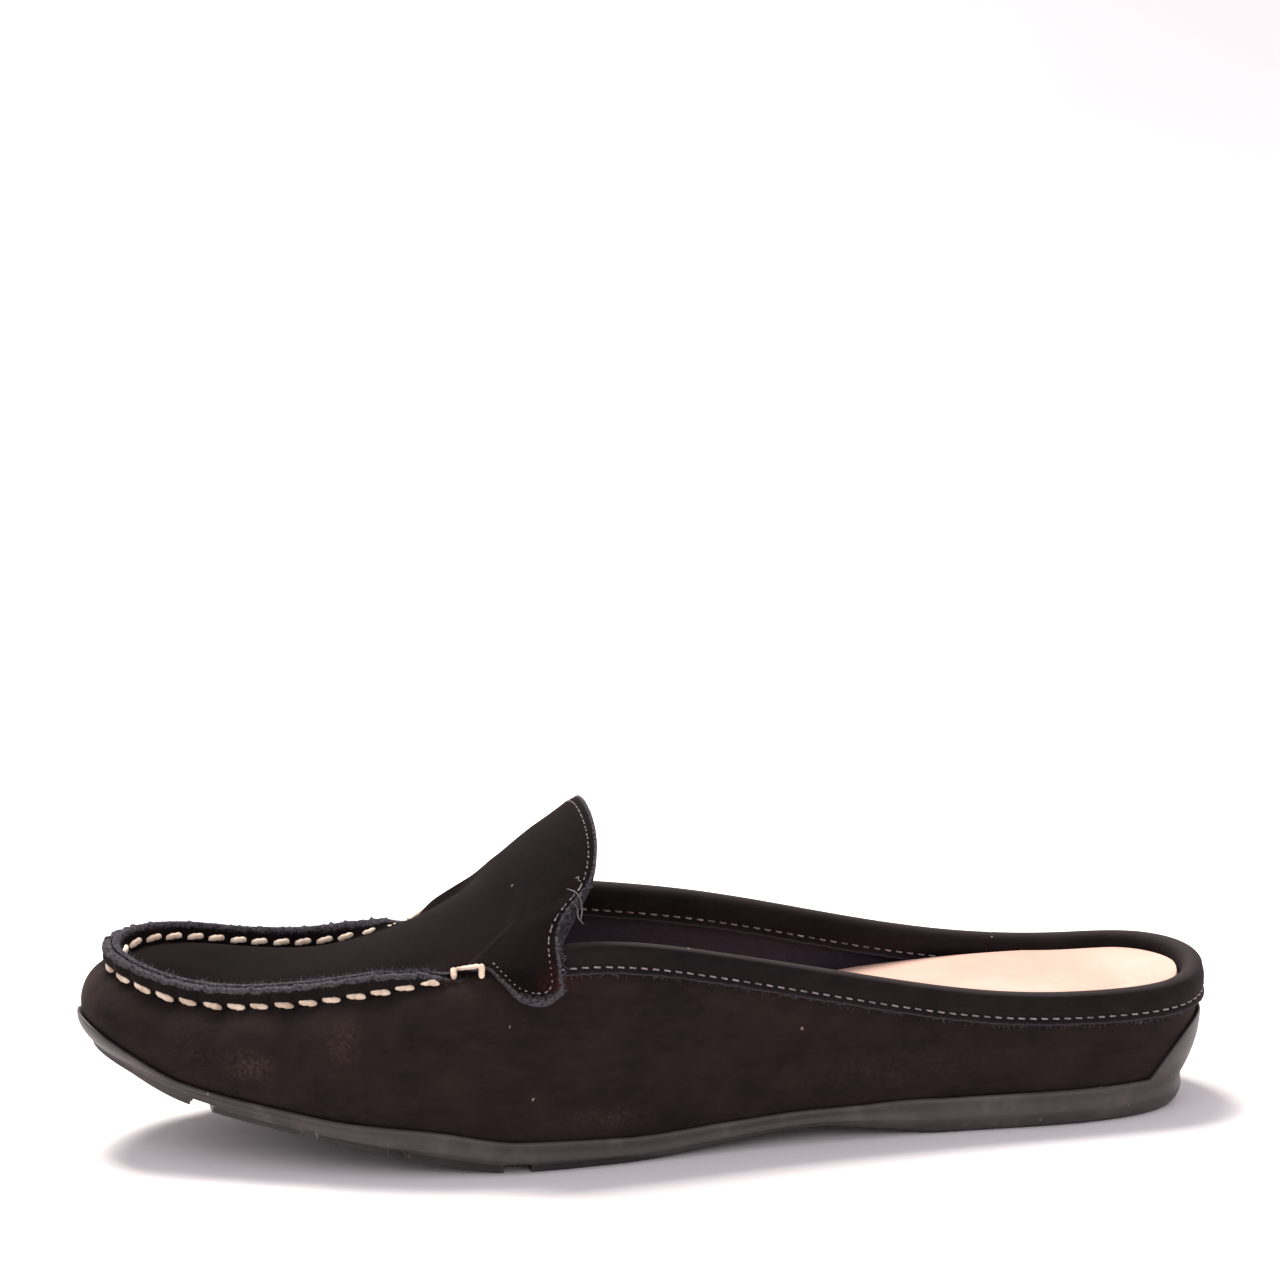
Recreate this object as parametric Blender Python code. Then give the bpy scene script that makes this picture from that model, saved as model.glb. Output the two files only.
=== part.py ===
# Loafer mule, left shoe: outsole, upper, apron with tongue, collar binding and insole.
# Metres, +Z up. Toe at +X, outer (little toe) side at +Y, floor at z = 0.
import bpy
import numpy as np

for leftover in list(bpy.data.objects):
    bpy.data.objects.remove(leftover, do_unlink=True)

# Driving dimensions of the last and the sole
FOOT_LENGTH = 0.2455        # feather line, heel back to toe tip
BALL_WIDTH = 0.0800         # feather line across the ball
HEEL_WIDTH = 0.0545         # feather line across the heel seat
RIM_HEIGHT = 0.0300         # finished topline above the floor at the heel
THROAT_HEIGHT = 0.0492      # finished topline above the floor beside the tongue
INSTEP_HEIGHT = 0.0735      # peak of the tongue above the floor
TOE_HEIGHT = 0.0405         # seam valley above the floor at the toe tip
SEAM_HEIGHT = 0.0355        # seam valley above the floor at its lowest
TOE_SPRING = 0.0225         # underside of the sole above the floor at the toe tip
ARCH_LIFT = 0.0034          # underside of the sole above the floor at the waist
HEEL_THICKNESS = 0.0073     # sole at the heel
SOLE_THICKNESS = 0.0052     # sole at the ball
HEEL_SEAT = 0.0285          # footbed edge above the floor at the heel
INSOLE_THICKNESS = 0.0026   # footbed at the ball

# Walls, edges and clearances
WALL = 0.0018               # upper leather with its lining
APRON_WALL = 0.0015         # apron and tongue leather
BINDING_WALL = 0.0011       # folded collar binding
GAP = 0.0003                # clearance between pieces that touch
SEAM_RIDGE = 0.0043         # raised seam above its valley
RIDGE_LEAN = 0.0010         # how far the raised seam leans outwards
PUCKER = 0.0004             # gathers of the upper below the raised seam
PUCKER_PITCH = 0.0105       # distance between two gathers
BINDING_DROP = 0.0057       # outer leg of the binding
BINDING_INNER_DROP = 0.0062 # inner leg of the binding
BINDING_HIDDEN = 0.0060     # length of binding under each tongue wing
WING_DROP = 0.0106          # tongue wing below the topline
LIP_HEIGHT = 0.0010         # rubber lip up the side of the upper
LIP_THICKNESS = 0.0012      # rubber lip and bumpers
HEEL_GUARD = 0.0130         # rubber guard up the heel
TOE_GUARD = 0.0060          # rubber bumper up the toe
TREAD = 0.0020              # forefoot tread pads below the base of the sole
TREAD_INSET = 0.0012        # step from the side of the base to the pads
GROOVE_DEPTH = 0.0023       # grooves between the pads
FOOTBED_DISH = 0.0016       # hollow of the footbed under the heel
HEEL_CHAMFER = 0.0014       # slope of the heel block at the floor
FOOTBED_CLEAR = 0.00105     # footbed inside the binding
RIDGE_FADE = 0.0065         # distance over which the raised seam grows in front of its tack

# Shares that shape the profiles
SWELL_AT, SWELL_REACH = 0.36, 1.35      # height and pull of the wall's lower control point
SHOULDER_AT = 0.86                      # height of its upper control point
TREAD_FROM, TREAD_BLEND = 0.50, 0.06    # where the tread pads begin, shares of FOOT_LENGTH
DISH_END = 0.55                         # where the hollow of the footbed ends, same
EDGE_BLEND, DIP_WIDTH = 3, 1.4          # blends behind and under the tack, against WING_TURN
TONGUE_SWEEP = 2.2                      # how squarely the tongue's rear edge sweeps back
TONGUE_SET_IN = 0.14                    # width of the curve from wing to tongue, share across
SET_IN_FROM = 0.78                      # row where that curve begins, share of the rows
TONGUE_TAPER = 0.028                    # underside of the tongue narrower than its top
RIM_THICKEN = 0.35                      # tongue thicker towards its wings
LIP_MID = 0.55                          # height of the middle row of lip and guard
PAD_SLOPE = 0.2                         # lean of the pads' sides, share of TREAD_INSET
CUTTER_REACH = 1.6                      # length of a groove cutter, against BALL_WIDTH

AROUND = 120                # points round the shoe, even
HALF = AROUND // 2
UPPER_STEPS = 7             # rows up the outside of the upper
LINING_STEPS = 6            # rows down its inside
FINE_LINE = 2880            # points of the feather line before it is evened out
FACE_ROWS = 25              # rows of the wall that other pieces read
FOOTBED_COLS = 6            # columns across the footbed
ACROSS = 14                 # columns across the apron, even

# Feather line: along is a share of FOOT_LENGTH, across a share of half the named width.
# swell, shoulder and inset are offsets of the wall from the feather line as shares of the
# ball width: at two fifths of its height, near its top, and at its top edge.
# edge: which named height the top edge follows, as a share of that height.
# ridge: share of SEAM_RIDGE. guard: top of the sole's guard above the feather line; where it
# is lower than LIP_HEIGHT the plain lip runs on.
HEEL, BALL = HEEL_WIDTH / 2, BALL_WIDTH / 2
RIM, THROAT, SEAM, TOE = RIM_HEIGHT, THROAT_HEIGHT, SEAM_HEIGHT, TOE_HEIGHT
LAST_COLUMNS = "name along across width swell shoulder inset edge height ridge guard".split()
LAST = [
    ("heel back", 0.000, 0.00, HEEL, 0.050, 0.075, 0.064, 1.07, RIM, 0.0, HEEL_GUARD),
    ("heel corner, outer", 0.022, 0.66, HEEL, 0.035, 0.045, 0.030, 1.01, RIM, 0.0, HEEL_GUARD * 0.74),
    ("heel side, outer", 0.080, 0.95, HEEL, 0.012, 0.000, -0.018, 0.99, RIM, 0.0, HEEL_GUARD * -0.62),
    ("heel seat, outer", 0.190, 1.04, HEEL, 0.012, 0.000, -0.022, 1.04, RIM, 0.0, HEEL_GUARD * -0.20),
    ("waist, outer", 0.320, 1.08, HEEL, 0.015, 0.006, -0.016, 1.24, RIM, 0.0, LIP_HEIGHT),
    ("instep, outer", 0.450, 1.22, HEEL, 0.018, 0.012, -0.030, 0.905, THROAT, 0.0, LIP_HEIGHT),
    ("throat, outer", 0.555, 0.96, BALL, 0.018, 0.010, -0.050, 1.000, THROAT, 0.0, LIP_HEIGHT),
    ("wing, outer", 0.620, 1.01, BALL, 0.020, 0.016, -0.065, 0.985, THROAT, 0.0, LIP_HEIGHT),
    ("tack, outer", 0.690, 1.00, BALL, 0.020, 0.018, -0.085, 0.882, THROAT, 0.25, LIP_HEIGHT),
    ("vamp, outer", 0.775, 0.90, BALL, 0.022, 0.022, -0.090, 1.095, SEAM, 1.0, LIP_HEIGHT),
    ("cheek, outer", 0.865, 0.655, BALL, 0.026, 0.026, -0.085, 0.985, SEAM, 1.0, LIP_HEIGHT),
    ("toe, outer", 0.942, 0.405, BALL, 0.034, 0.036, -0.070, 0.985, SEAM, 1.0, LIP_HEIGHT * 1.2),
    ("toe corner, outer", 0.987, 0.17, BALL, 0.050, 0.050, -0.045, 0.945, TOE, 1.0, TOE_GUARD * 0.7),
    ("toe tip", 1.000, -0.10, BALL, 0.057, 0.056, -0.030, 1.000, TOE, 1.0, TOE_GUARD),
    ("toe corner, inner", 0.985, -0.375, BALL, 0.044, 0.046, -0.050, 1.030, TOE, 1.0, TOE_GUARD * 0.7),
    ("toe, inner", 0.930, -0.645, BALL, 0.034, 0.036, -0.090, 1.010, TOE, 1.0, LIP_HEIGHT * 1.2),
    ("cheek, inner", 0.850, -0.83, BALL, 0.026, 0.026, -0.105, 1.050, SEAM, 1.0, LIP_HEIGHT),
    ("vamp, inner", 0.770, -0.955, BALL, 0.022, 0.022, -0.110, 1.030, SEAM, 1.0, LIP_HEIGHT),
    ("tack, inner", 0.685, -0.955, BALL, 0.020, 0.018, -0.100, 0.850, THROAT, 0.25, LIP_HEIGHT),
    ("wing, inner", 0.615, -0.85, BALL, 0.020, 0.016, -0.070, 0.985, THROAT, 0.0, LIP_HEIGHT),
    ("throat, inner", 0.545, -0.72, BALL, 0.022, 0.014, -0.040, 1.000, THROAT, 0.0, LIP_HEIGHT),
    ("instep, inner", 0.430, -0.84, HEEL, 0.030, 0.022, -0.012, 0.935, THROAT, 0.0, LIP_HEIGHT),
    ("waist, inner", 0.310, -0.88, HEEL, 0.024, 0.012, -0.014, 1.31, RIM, 0.0, LIP_HEIGHT),
    ("heel seat, inner", 0.180, -0.96, HEEL, 0.012, 0.000, -0.022, 1.10, RIM, 0.0, HEEL_GUARD * -0.20),
    ("heel side, inner", 0.078, -0.92, HEEL, 0.012, 0.000, -0.018, 1.05, RIM, 0.0, HEEL_GUARD * -0.62),
    ("heel corner, inner", 0.022, -0.64, HEEL, 0.035, 0.045, 0.030, 1.07, RIM, 0.0, HEEL_GUARD * 0.74),
]

# Side view of the sole: its underside and its thickness at shares of FOOT_LENGTH from the heel
SOLE_COLUMNS = "name along under thickness".split()
SOLE = [
    ("heel back", 0.000, 0.0, HEEL_THICKNESS),
    ("heel front", 0.245, 0.0, HEEL_THICKNESS),
    ("breast", 0.290, ARCH_LIFT * 0.40, HEEL_THICKNESS * 0.80),
    ("arch", 0.365, ARCH_LIFT, SOLE_THICKNESS * 0.68),
    ("waist", 0.450, ARCH_LIFT * 0.55, SOLE_THICKNESS * 0.80),
    ("joint", 0.545, 0.0, SOLE_THICKNESS),
    ("ball", 0.640, 0.0, SOLE_THICKNESS * 1.18),
    ("tread", 0.710, TOE_SPRING * 0.105, SOLE_THICKNESS * 1.25),
    ("vamp", 0.830, TOE_SPRING * 0.355, SOLE_THICKNESS * 0.82),
    ("toe", 0.930, TOE_SPRING * 0.590, SOLE_THICKNESS * 0.80),
    ("toe tip", 1.000, TOE_SPRING * 0.96, SOLE_THICKNESS * 0.50),
]

# Grooves of the tread: place as a share of FOOT_LENGTH, width in metres
GROOVES = [
    ("toe groove", 0.9170, 0.0048),
    ("cheek groove", 0.8250, 0.0034),
    ("vamp groove", 0.7500, 0.0042),
    ("ball groove", 0.6440, 0.0062),
]

# Footbed: top surface above the sole, as a share of the way up to the heel seat
FOOTBED_COLUMNS = "name along lift".split()
FOOTBED = [
    ("heel back", 0.000, 1.02),
    ("heel", 0.120, 1.00),
    ("seat", 0.280, 0.89),
    ("shank", 0.380, 0.66),
    ("waist", 0.480, 0.33),
    ("joint", 0.580, 0.08),
    ("ball", 0.660, 0.00),
    ("toe tip", 1.000, 0.00),
]

# Spine of the apron and tongue: place as a share of FOOT_LENGTH, crown above its edges
# as a share of the rise from the throat to the tongue's peak
SPINE_COLUMNS = "name progress along crown".split()
SPINE = [
    ("toe tip", 0.00, 0.984, 0.00),
    ("toe", 0.20, 0.915, 0.06),
    ("cheek", 0.45, 0.815, 0.12),
    ("vamp", 0.62, 0.735, 0.25),
    ("instep", 0.76, 0.665, 0.46),
    ("tongue", 0.90, 0.596, 0.76),
    ("tongue peak", 1.00, 0.557, 0.91),
]

# Wing of the tongue, by the distance from its tack to its rear edge
WING_COLUMNS = "name progress drop".split()
WING = [
    ("tack", 0.00, 0.00),
    ("front", 0.18, 0.34),
    ("curve", 0.42, 0.82),
    ("lowest", 0.72, 1.00),
    ("rear", 1.00, 0.82),
]
TACK_ALONG = 0.684          # tack of the seam, share of FOOT_LENGTH
WING_ALONG = 0.600          # rear edge of the wing, share of FOOT_LENGTH
WING_TURN = 0.0035          # distance over which the apron crosses to the outside
TACK_DIP = 0.0018           # dip of the upper's edge where the apron crosses it


def columns(table, names, wanted):
    """Columns of a table as arrays, in the order wanted."""
    return [np.array([row[names.index(w)] for row in table], float) for w in wanted]


def smooth(xs, ys, x):
    """Monotone cubic through (xs, ys): flat where neighbours are equal, never overshooting."""
    h = np.diff(xs)
    slope = np.diff(ys) / h
    same = slope[:-1] * slope[1:] > 0
    inner = np.where(same, 2 * slope[:-1] * slope[1:] / np.where(same, slope[:-1] + slope[1:], 1), 0)
    tangent = np.concatenate([[slope[0]], inner, [slope[-1]]])
    x = np.clip(x, xs[0], xs[-1])
    i = np.clip(np.searchsorted(xs, x) - 1, 0, len(h) - 1)
    t = (x - xs[i]) / h[i]
    a = (1 + 2 * t) * (1 - t) ** 2 * ys[i] + t ** 2 * (3 - 2 * t) * ys[i + 1]
    b = t * (1 - t) ** 2 * h[i] * tangent[i] + t ** 2 * (t - 1) * h[i] * tangent[i + 1]
    return a + b


def round_spline(knots, values, at):
    """Closed cubic spline: knots 0..1 of one turn, values (rows, columns), read at shares `at`."""
    n = len(knots)
    h = np.diff(np.append(knots, 1.0))
    before = np.roll(h, 1)
    system = np.zeros((n, n))
    rows = np.arange(n)
    system[rows, rows] = 2 * (before + h)
    system[rows, (rows - 1) % n] = before
    system[rows, (rows + 1) % n] = h
    rise = (np.roll(values, -1, 0) - values) / h[:, None]
    bend = np.linalg.solve(system, 6 * (rise - np.roll(rise, 1, 0)))
    at = np.mod(at, 1.0)
    i = np.searchsorted(knots, at, side="right") - 1
    t = (at - knots[i])[:, None]
    step = h[i][:, None]
    m0, m1 = bend[i], bend[(i + 1) % n]
    slope = rise[i] - step * (2 * m0 + m1) / 6
    return values[i] + slope * t + m0 / 2 * t ** 2 + (m1 - m0) / (6 * step) * t ** 3


def last_line():
    """Points, outward directions and wall values all round, from heel back by the outer side."""
    along, across, width = columns(LAST, LAST_COLUMNS, ["along", "across", "width"])
    plan = np.stack([along * FOOT_LENGTH, across * width], 1)
    swell, shoulder, inset, edge, height, ridge, guard = columns(LAST, LAST_COLUMNS, LAST_COLUMNS[4:])
    ball = BALL_WIDTH * np.stack([swell, shoulder, inset], 1)
    values = np.column_stack([plan, ball, edge * height, ridge, guard])
    steps = np.linalg.norm(np.diff(plan, axis=0, append=plan[:1]), axis=1)
    knots = np.concatenate([[0], np.cumsum(steps)[:-1]]) / steps.sum()
    fine = round_spline(knots, values, np.linspace(0, 1, FINE_LINE, endpoint=False))
    tip = int(np.argmax(fine[:, 0]))
    loop = np.vstack([fine, fine[:1]])
    run = np.concatenate([[0], np.cumsum(np.linalg.norm(np.diff(loop[:, :2], axis=0), axis=1))])
    outer = np.linspace(0, run[tip], HALF + 1)[:-1]
    inner = np.linspace(run[tip], run[-1], HALF + 1)[:-1]
    places = np.concatenate([outer, inner])
    line = np.stack([np.interp(places, run, loop[:, c]) for c in range(loop.shape[1])], 1)
    ahead = np.roll(line[:, :2], -1, 0) - np.roll(line[:, :2], 1, 0)
    outward = np.stack([-ahead[:, 1], ahead[:, 0]], 1)
    outward /= np.linalg.norm(outward, axis=1)[:, None]
    return line, outward


LINE, OUTWARD = last_line()
PLAN = LINE[:, :2]
SWELL, SHOULDER, INSET, EDGE = LINE[:, 2], LINE[:, 3], LINE[:, 4], LINE[:, 5]
TACK_X = TACK_ALONG * FOOT_LENGTH
RIDGE = SEAM_RIDGE * np.clip(LINE[:, 6], 0, 1)
RIDGE = RIDGE * np.clip((PLAN[:, 0] - TACK_X - WING_TURN) / RIDGE_FADE, 0, 1)
GUARD = np.maximum(LINE[:, 7], LIP_HEIGHT)


def under(x):
    """Height of the sole's underside."""
    xs, ys = columns(SOLE, SOLE_COLUMNS, ["along", "under"])
    return smooth(xs * FOOT_LENGTH, ys, x)


def seat(x):
    """Height of the sole's top, which carries the upper and the footbed."""
    xs, ys = columns(SOLE, SOLE_COLUMNS, ["along", "thickness"])
    return under(x) + smooth(xs * FOOT_LENGTH, ys, x)


FEATHER = seat(PLAN[:, 0])
ALONG_LINE = np.concatenate([[0], np.cumsum(np.linalg.norm(np.diff(PLAN, axis=0), axis=1))])


def place(offset, height):
    """World points at an offset outwards from the feather line and a height."""
    xy = PLAN + OUTWARD * np.asarray(offset)[:, None]
    return np.column_stack([xy, height])


def top_edge():
    """Offset and height of the upper's top edge, lower by the binding's thickness behind the tack."""
    behind = np.clip((TACK_X - PLAN[:, 0]) / (WING_TURN * EDGE_BLEND), 0, 1)
    return INSET, EDGE - behind * (BINDING_WALL + GAP)


TOP_OUT, SEAM_LINE = top_edge()
TOP_HIGH = SEAM_LINE - TACK_DIP * np.exp(-((PLAN[:, 0] - TACK_X) / (WING_TURN * DIP_WIDTH)) ** 2)


def wall_profile(t):
    """Outside of the upper at shares t of its profile: a cubic arc from feather line to edge."""
    rise = TOP_HIGH - FEATHER - GAP
    corners = [
        (np.zeros(AROUND), FEATHER + GAP),
        (SWELL * SWELL_REACH, FEATHER + rise * SWELL_AT),
        (SHOULDER, FEATHER + rise * SHOULDER_AT),
        (TOP_OUT, TOP_HIGH),
    ]
    blend = [(1 - t) ** 3, 3 * t * (1 - t) ** 2, 3 * t ** 2 * (1 - t), t ** 3]
    out = sum(b * c[0] for b, c in zip(blend, corners))
    high = sum(b * c[1] for b, c in zip(blend, corners))
    gathers = np.sin(ALONG_LINE * 2 * np.pi / PUCKER_PITCH)
    return out + PUCKER * gathers * (RIDGE / SEAM_RIDGE) * np.sin(np.pi * t) * t, high


def wall(steps):
    """Outside of the upper as arrays (row, place round): offsets, heights and unit normals."""
    ts = np.linspace(0, 1, steps)
    out, high = (np.array(a) for a in zip(*[wall_profile(t) for t in ts]))
    d_out, d_high = np.gradient(out, axis=0), np.gradient(high, axis=0)
    size = np.hypot(d_out, d_high)
    return out, high, d_high / size, -d_out / size


WALL_OUT, WALL_HIGH, WALL_NO, WALL_NH = wall(FACE_ROWS)


def wall_offset(height, gap):
    """Offset of the upper's face at a height, moved out by gap (in, where gap is negative)."""
    out, high = WALL_OUT + WALL_NO * gap, WALL_HIGH + WALL_NH * gap
    height = np.broadcast_to(height, AROUND)
    return np.array([np.interp(height[i], high[:, i], out[:, i]) for i in range(AROUND)])


def solid(name, points, faces, colour, roughness, parts):
    """One named mesh object with its own material, shaded smooth."""
    mesh = bpy.data.meshes.new(name)
    mesh.from_pydata([tuple(p) for p in points], [], faces)
    mesh.update()
    mesh.shade_smooth()
    mesh.set_sharp_from_angle(angle=np.radians(40))
    material = bpy.data.materials.new(name)
    material.use_nodes = True
    shader = material.node_tree.nodes["Principled BSDF"]
    shader.inputs["Base Color"].default_value = (*colour, 1.0)
    shader.inputs["Roughness"].default_value = roughness
    shader.inputs["Metallic"].default_value = 0.0
    mesh.materials.append(material)
    piece = bpy.data.objects.new(name, mesh)
    parts.objects.link(piece)
    return piece


def ring_faces(rings, around, closed_rings):
    """Quads between neighbouring rings of a closed loop; points are ring by ring."""
    faces = []
    pairs = range(rings) if closed_rings else range(rings - 1)
    for r in pairs:
        low, up = r * around, (r + 1) % rings * around
        for i in range(around):
            j = (i + 1) % around
            faces.append((up + i, up + j, low + j, low + i))
    return faces


def ladder_faces(start, flip):
    """Quads across a loop of points, each outer place joined to the inner one opposite."""
    faces = []
    for k in range(HALF):
        a, b = k, k + 1
        c, d = (AROUND - b) % AROUND, (AROUND - a) % AROUND
        face = [start + a, start + b, start + c, start + d]
        face = [p for i, p in enumerate(face) if p not in face[:i]]
        faces.append(tuple(face[::-1] if flip else face))
    return faces


def make_upper(parts):
    """Hollow moccasin wall: outside up, over the ridge or edge, inside down, closed at the sole."""
    out, high, n_out, n_high = wall(UPPER_STEPS)
    rings = [place(o, h) for o, h in zip(out, high)]
    lean = RIDGE_LEAN * RIDGE / SEAM_RIDGE
    peak = TOP_HIGH + RIDGE
    rings.append(place(TOP_OUT + lean, peak - WALL * 0.1))
    rings.append(place(TOP_OUT + lean - WALL, peak + GAP / 3))
    rings.append(place(TOP_OUT - WALL, TOP_HIGH - WALL * 0.9 * (RIDGE / SEAM_RIDGE) - WALL * 0.25))
    out, high, n_out, n_high = wall(LINING_STEPS)
    for r in range(LINING_STEPS - 2, -1, -1):
        inner_out = out[r] - WALL * n_out[r]
        inner_high = np.maximum(high[r] - WALL * n_high[r], FEATHER + GAP)
        inner_out = np.maximum(inner_out, TOP_OUT - WALL) if r == LINING_STEPS - 2 else inner_out
        rings.append(place(inner_out, inner_high))
    points = np.concatenate(rings)
    faces = ring_faces(len(rings), AROUND, True)
    return solid("upper", points, faces, (0.016, 0.012, 0.011), 0.95, parts)


def make_outsole(parts):
    """Moulded sole: seat, lip with heel guard and toe bumper, side steps, tread and heel block."""
    lip_top = FEATHER + GUARD
    inner_low = np.full(AROUND, GAP)
    forefoot = np.clip((PLAN[:, 0] / FOOT_LENGTH - TREAD_FROM) / TREAD_BLEND, 0, 1)
    low = under(PLAN[:, 0])
    mid = (FEATHER + low) / 2
    base = low + TREAD * forefoot + HEEL_CHAMFER * (1 - forefoot)
    side = GAP + LIP_THICKNESS
    rings = [place(inner_low, FEATHER)]
    for share in (LIP_MID, 1.0):
        height = FEATHER + GAP + (lip_top - FEATHER - GAP) * share
        rings.append(place(np.maximum(wall_offset(height, GAP), GAP), height))
    rings.append(place(np.maximum(wall_offset(lip_top, side * 0.75), side * 0.7), lip_top))
    height = FEATHER + (lip_top - FEATHER) * LIP_MID
    rings.append(place(np.maximum(wall_offset(height, side), side), height))
    rings.append(place(np.full(AROUND, side * 0.75), FEATHER - (FEATHER - mid) * 0.5))
    rings.append(place(np.full(AROUND, side * 0.9), mid))
    rings.append(place(np.full(AROUND, side * 0.45), base))
    pad = np.full(AROUND, side * 0.45 - TREAD_INSET)
    rings.append(place(pad, base * forefoot + (low + GAP) * (1 - forefoot)))
    rings.append(place(pad - TREAD_INSET * PAD_SLOPE, low))
    count = len(rings)
    points = np.concatenate(rings)
    faces = ring_faces(count, AROUND, False)
    faces = [f[::-1] for f in faces]
    faces += ladder_faces(0, True) + ladder_faces((count - 1) * AROUND, False)
    return solid("outsole", points, faces, (0.085, 0.070, 0.068), 0.55, parts)


def cut_grooves(sole, cutters):
    """Four straight grooves across the tread, each turned to the slope of the underside."""
    for name, share, width in GROOVES:
        x = share * FOOT_LENGTH
        slope = (under(x + width) - under(x - width)) / (2 * width)
        bpy.ops.mesh.primitive_cube_add(size=1.0)
        cutter = bpy.context.active_object
        cutter.name = "cutter " + name
        cutter.scale = (width, BALL_WIDTH * CUTTER_REACH, GROOVE_DEPTH * 2)
        cutter.location = (x, 0.0, float(under(x)))
        cutter.rotation_euler = (0.0, -float(np.arctan(slope)), 0.0)
        cutter.hide_render = True
        cutter.display_type = "WIRE"
        for home in list(cutter.users_collection):
            home.objects.unlink(cutter)
        cutters.objects.link(cutter)
        cut = sole.modifiers.new(name, "BOOLEAN")
        cut.operation = "DIFFERENCE"
        cut.solver = "EXACT"
        cut.object = cutter


def footbed(x):
    """Height of the footbed's edge."""
    xs, lift = columns(FOOTBED, FOOTBED_COLUMNS, ["along", "lift"])
    low = seat(x) + GAP + INSOLE_THICKNESS
    share = smooth(xs * FOOT_LENGTH, lift, x)
    return low + share * (HEEL_SEAT - low)


def make_insole(parts):
    """Footbed wedge inside the upper: its side follows the wall, its top is dished at the heel."""
    top = np.minimum(footbed(PLAN[:, 0]), TOP_HIGH - WALL)
    bottom = FEATHER + GAP
    inside = -(WALL + BINDING_WALL + FOOTBED_CLEAR)
    shares = (0.0, 0.6, 1.0)
    rings = []
    for share in shares:
        height = bottom + (top - bottom) * share
        reach = np.minimum(wall_offset(height, inside), inside + (TOP_OUT > 0) * TOP_OUT + SWELL)
        rings.append(place(np.minimum(reach, wall_offset(height + GAP, inside)), height))
    points = [np.concatenate(rings)]
    faces = ring_faces(len(rings), AROUND, False) + ladder_faces(0, False)
    # the dished top: rows across between opposite places, more columns than a plain ladder
    edge = rings[-1]
    start = (len(rings) - 1) * AROUND
    spare = len(rings) * AROUND
    cols = FOOTBED_COLS
    dish = FOOTBED_DISH * np.clip(1 - edge[:, 0] / (FOOT_LENGTH * DISH_END), 0, 1)
    inner_ids = np.zeros((HALF + 1, cols + 1), int)
    extra = []
    for k in range(HALF + 1):
        left, right = k, (AROUND - k) % AROUND
        inner_ids[k, 0], inner_ids[k, cols] = start + left, start + right
        for c in range(1, cols):
            v = c / cols
            if left == right:
                inner_ids[k, c] = start + left
                continue
            point = edge[left] * (1 - v) + edge[right] * v
            point[2] -= dish[left] * np.sin(np.pi * v)
            inner_ids[k, c] = spare + len(extra)
            extra.append(point)
    points.append(np.array(extra))
    for k in range(HALF):
        for c in range(cols):
            face = [inner_ids[k, c + 1], inner_ids[k + 1, c + 1], inner_ids[k + 1, c], inner_ids[k, c]]
            face = [int(p) for i, p in enumerate(face) if p not in face[:i]]
            if len(face) > 2:
                faces.append(tuple(face))
    return solid("insole", np.concatenate(points), faces, (0.90, 0.72, 0.58), 0.5, parts)


def wall_at_depth(i, depth, gap):
    """Point of the wall profile at place i, a length down from its top edge, moved out by gap."""
    out, high = WALL_OUT[::-1, i], WALL_HIGH[::-1, i]
    run = np.concatenate([[0], np.cumsum(np.hypot(np.diff(out), np.diff(high)))])
    o = np.interp(depth, run, out) + np.interp(depth, run, WALL_NO[::-1, i]) * gap
    h = np.interp(depth, run, high) + np.interp(depth, run, WALL_NH[::-1, i]) * gap
    return o, h


def section_point(i, offset, height):
    """World point of a place i, offset and height."""
    return (*(PLAN[i] + OUTWARD[i] * offset), height)


def binding_section(i):
    """Folded strip at place i: outside down one leg, over the edge and back inside the fold."""
    near, far = GAP, GAP + BINDING_WALL
    leg = [BINDING_DROP, BINDING_DROP * 0.5, BINDING_WALL * 0.4]
    inner_leg = [BINDING_WALL * 0.4, BINDING_INNER_DROP]
    outside = [wall_at_depth(i, d, far) for d in leg]
    inside = [wall_at_depth(i, d, -WALL - GAP - far) for d in inner_leg]
    o, h = TOP_OUT[i], TOP_HIGH[i]
    crown = [(o + far * 0.75, h + far * 0.72), (o - WALL * 0.5, h + far * 1.1),
             (o - WALL - far * 0.85, h + far * 0.72)]
    back = [wall_at_depth(i, d, -WALL - GAP - near) for d in inner_leg[::-1]]
    fold = [(o - WALL - near, h + near), (o + near, h + near)]
    front = [wall_at_depth(i, d, near) for d in leg[::-1]]
    return [section_point(i, *p) for p in outside + crown + inside + back + fold + front]


def make_binding(parts):
    """Collar binding from under one wing of the tongue, round the heel, to the other."""
    start = WING_ALONG * FOOT_LENGTH + BINDING_HIDDEN
    places = [i for i in range(AROUND) if PLAN[i, 0] < start]
    outer = [i for i in places if i < HALF][::-1]
    inner = [i for i in places if i > HALF][::-1]
    path = outer + inner
    rings = [binding_section(i) for i in path]
    count = len(rings[0])
    points = [p for ring in rings for p in ring]
    faces = []
    for r in range(len(path) - 1):
        for c in range(count):
            d = (c + 1) % count
            faces.append(((r + 1) * count + c, (r + 1) * count + d, r * count + d, r * count + c))
    last = (len(path) - 1) * count
    faces.append(tuple(range(count)))
    faces.append(tuple(last + c for c in range(count))[::-1])
    return solid("collar_binding", points, faces, (0.018, 0.014, 0.013), 0.9, parts)


def between(p, q, share):
    """Point a share of the way from p to q."""
    return tuple((1 - share) * a + share * b for a, b in zip(p, q))


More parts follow.
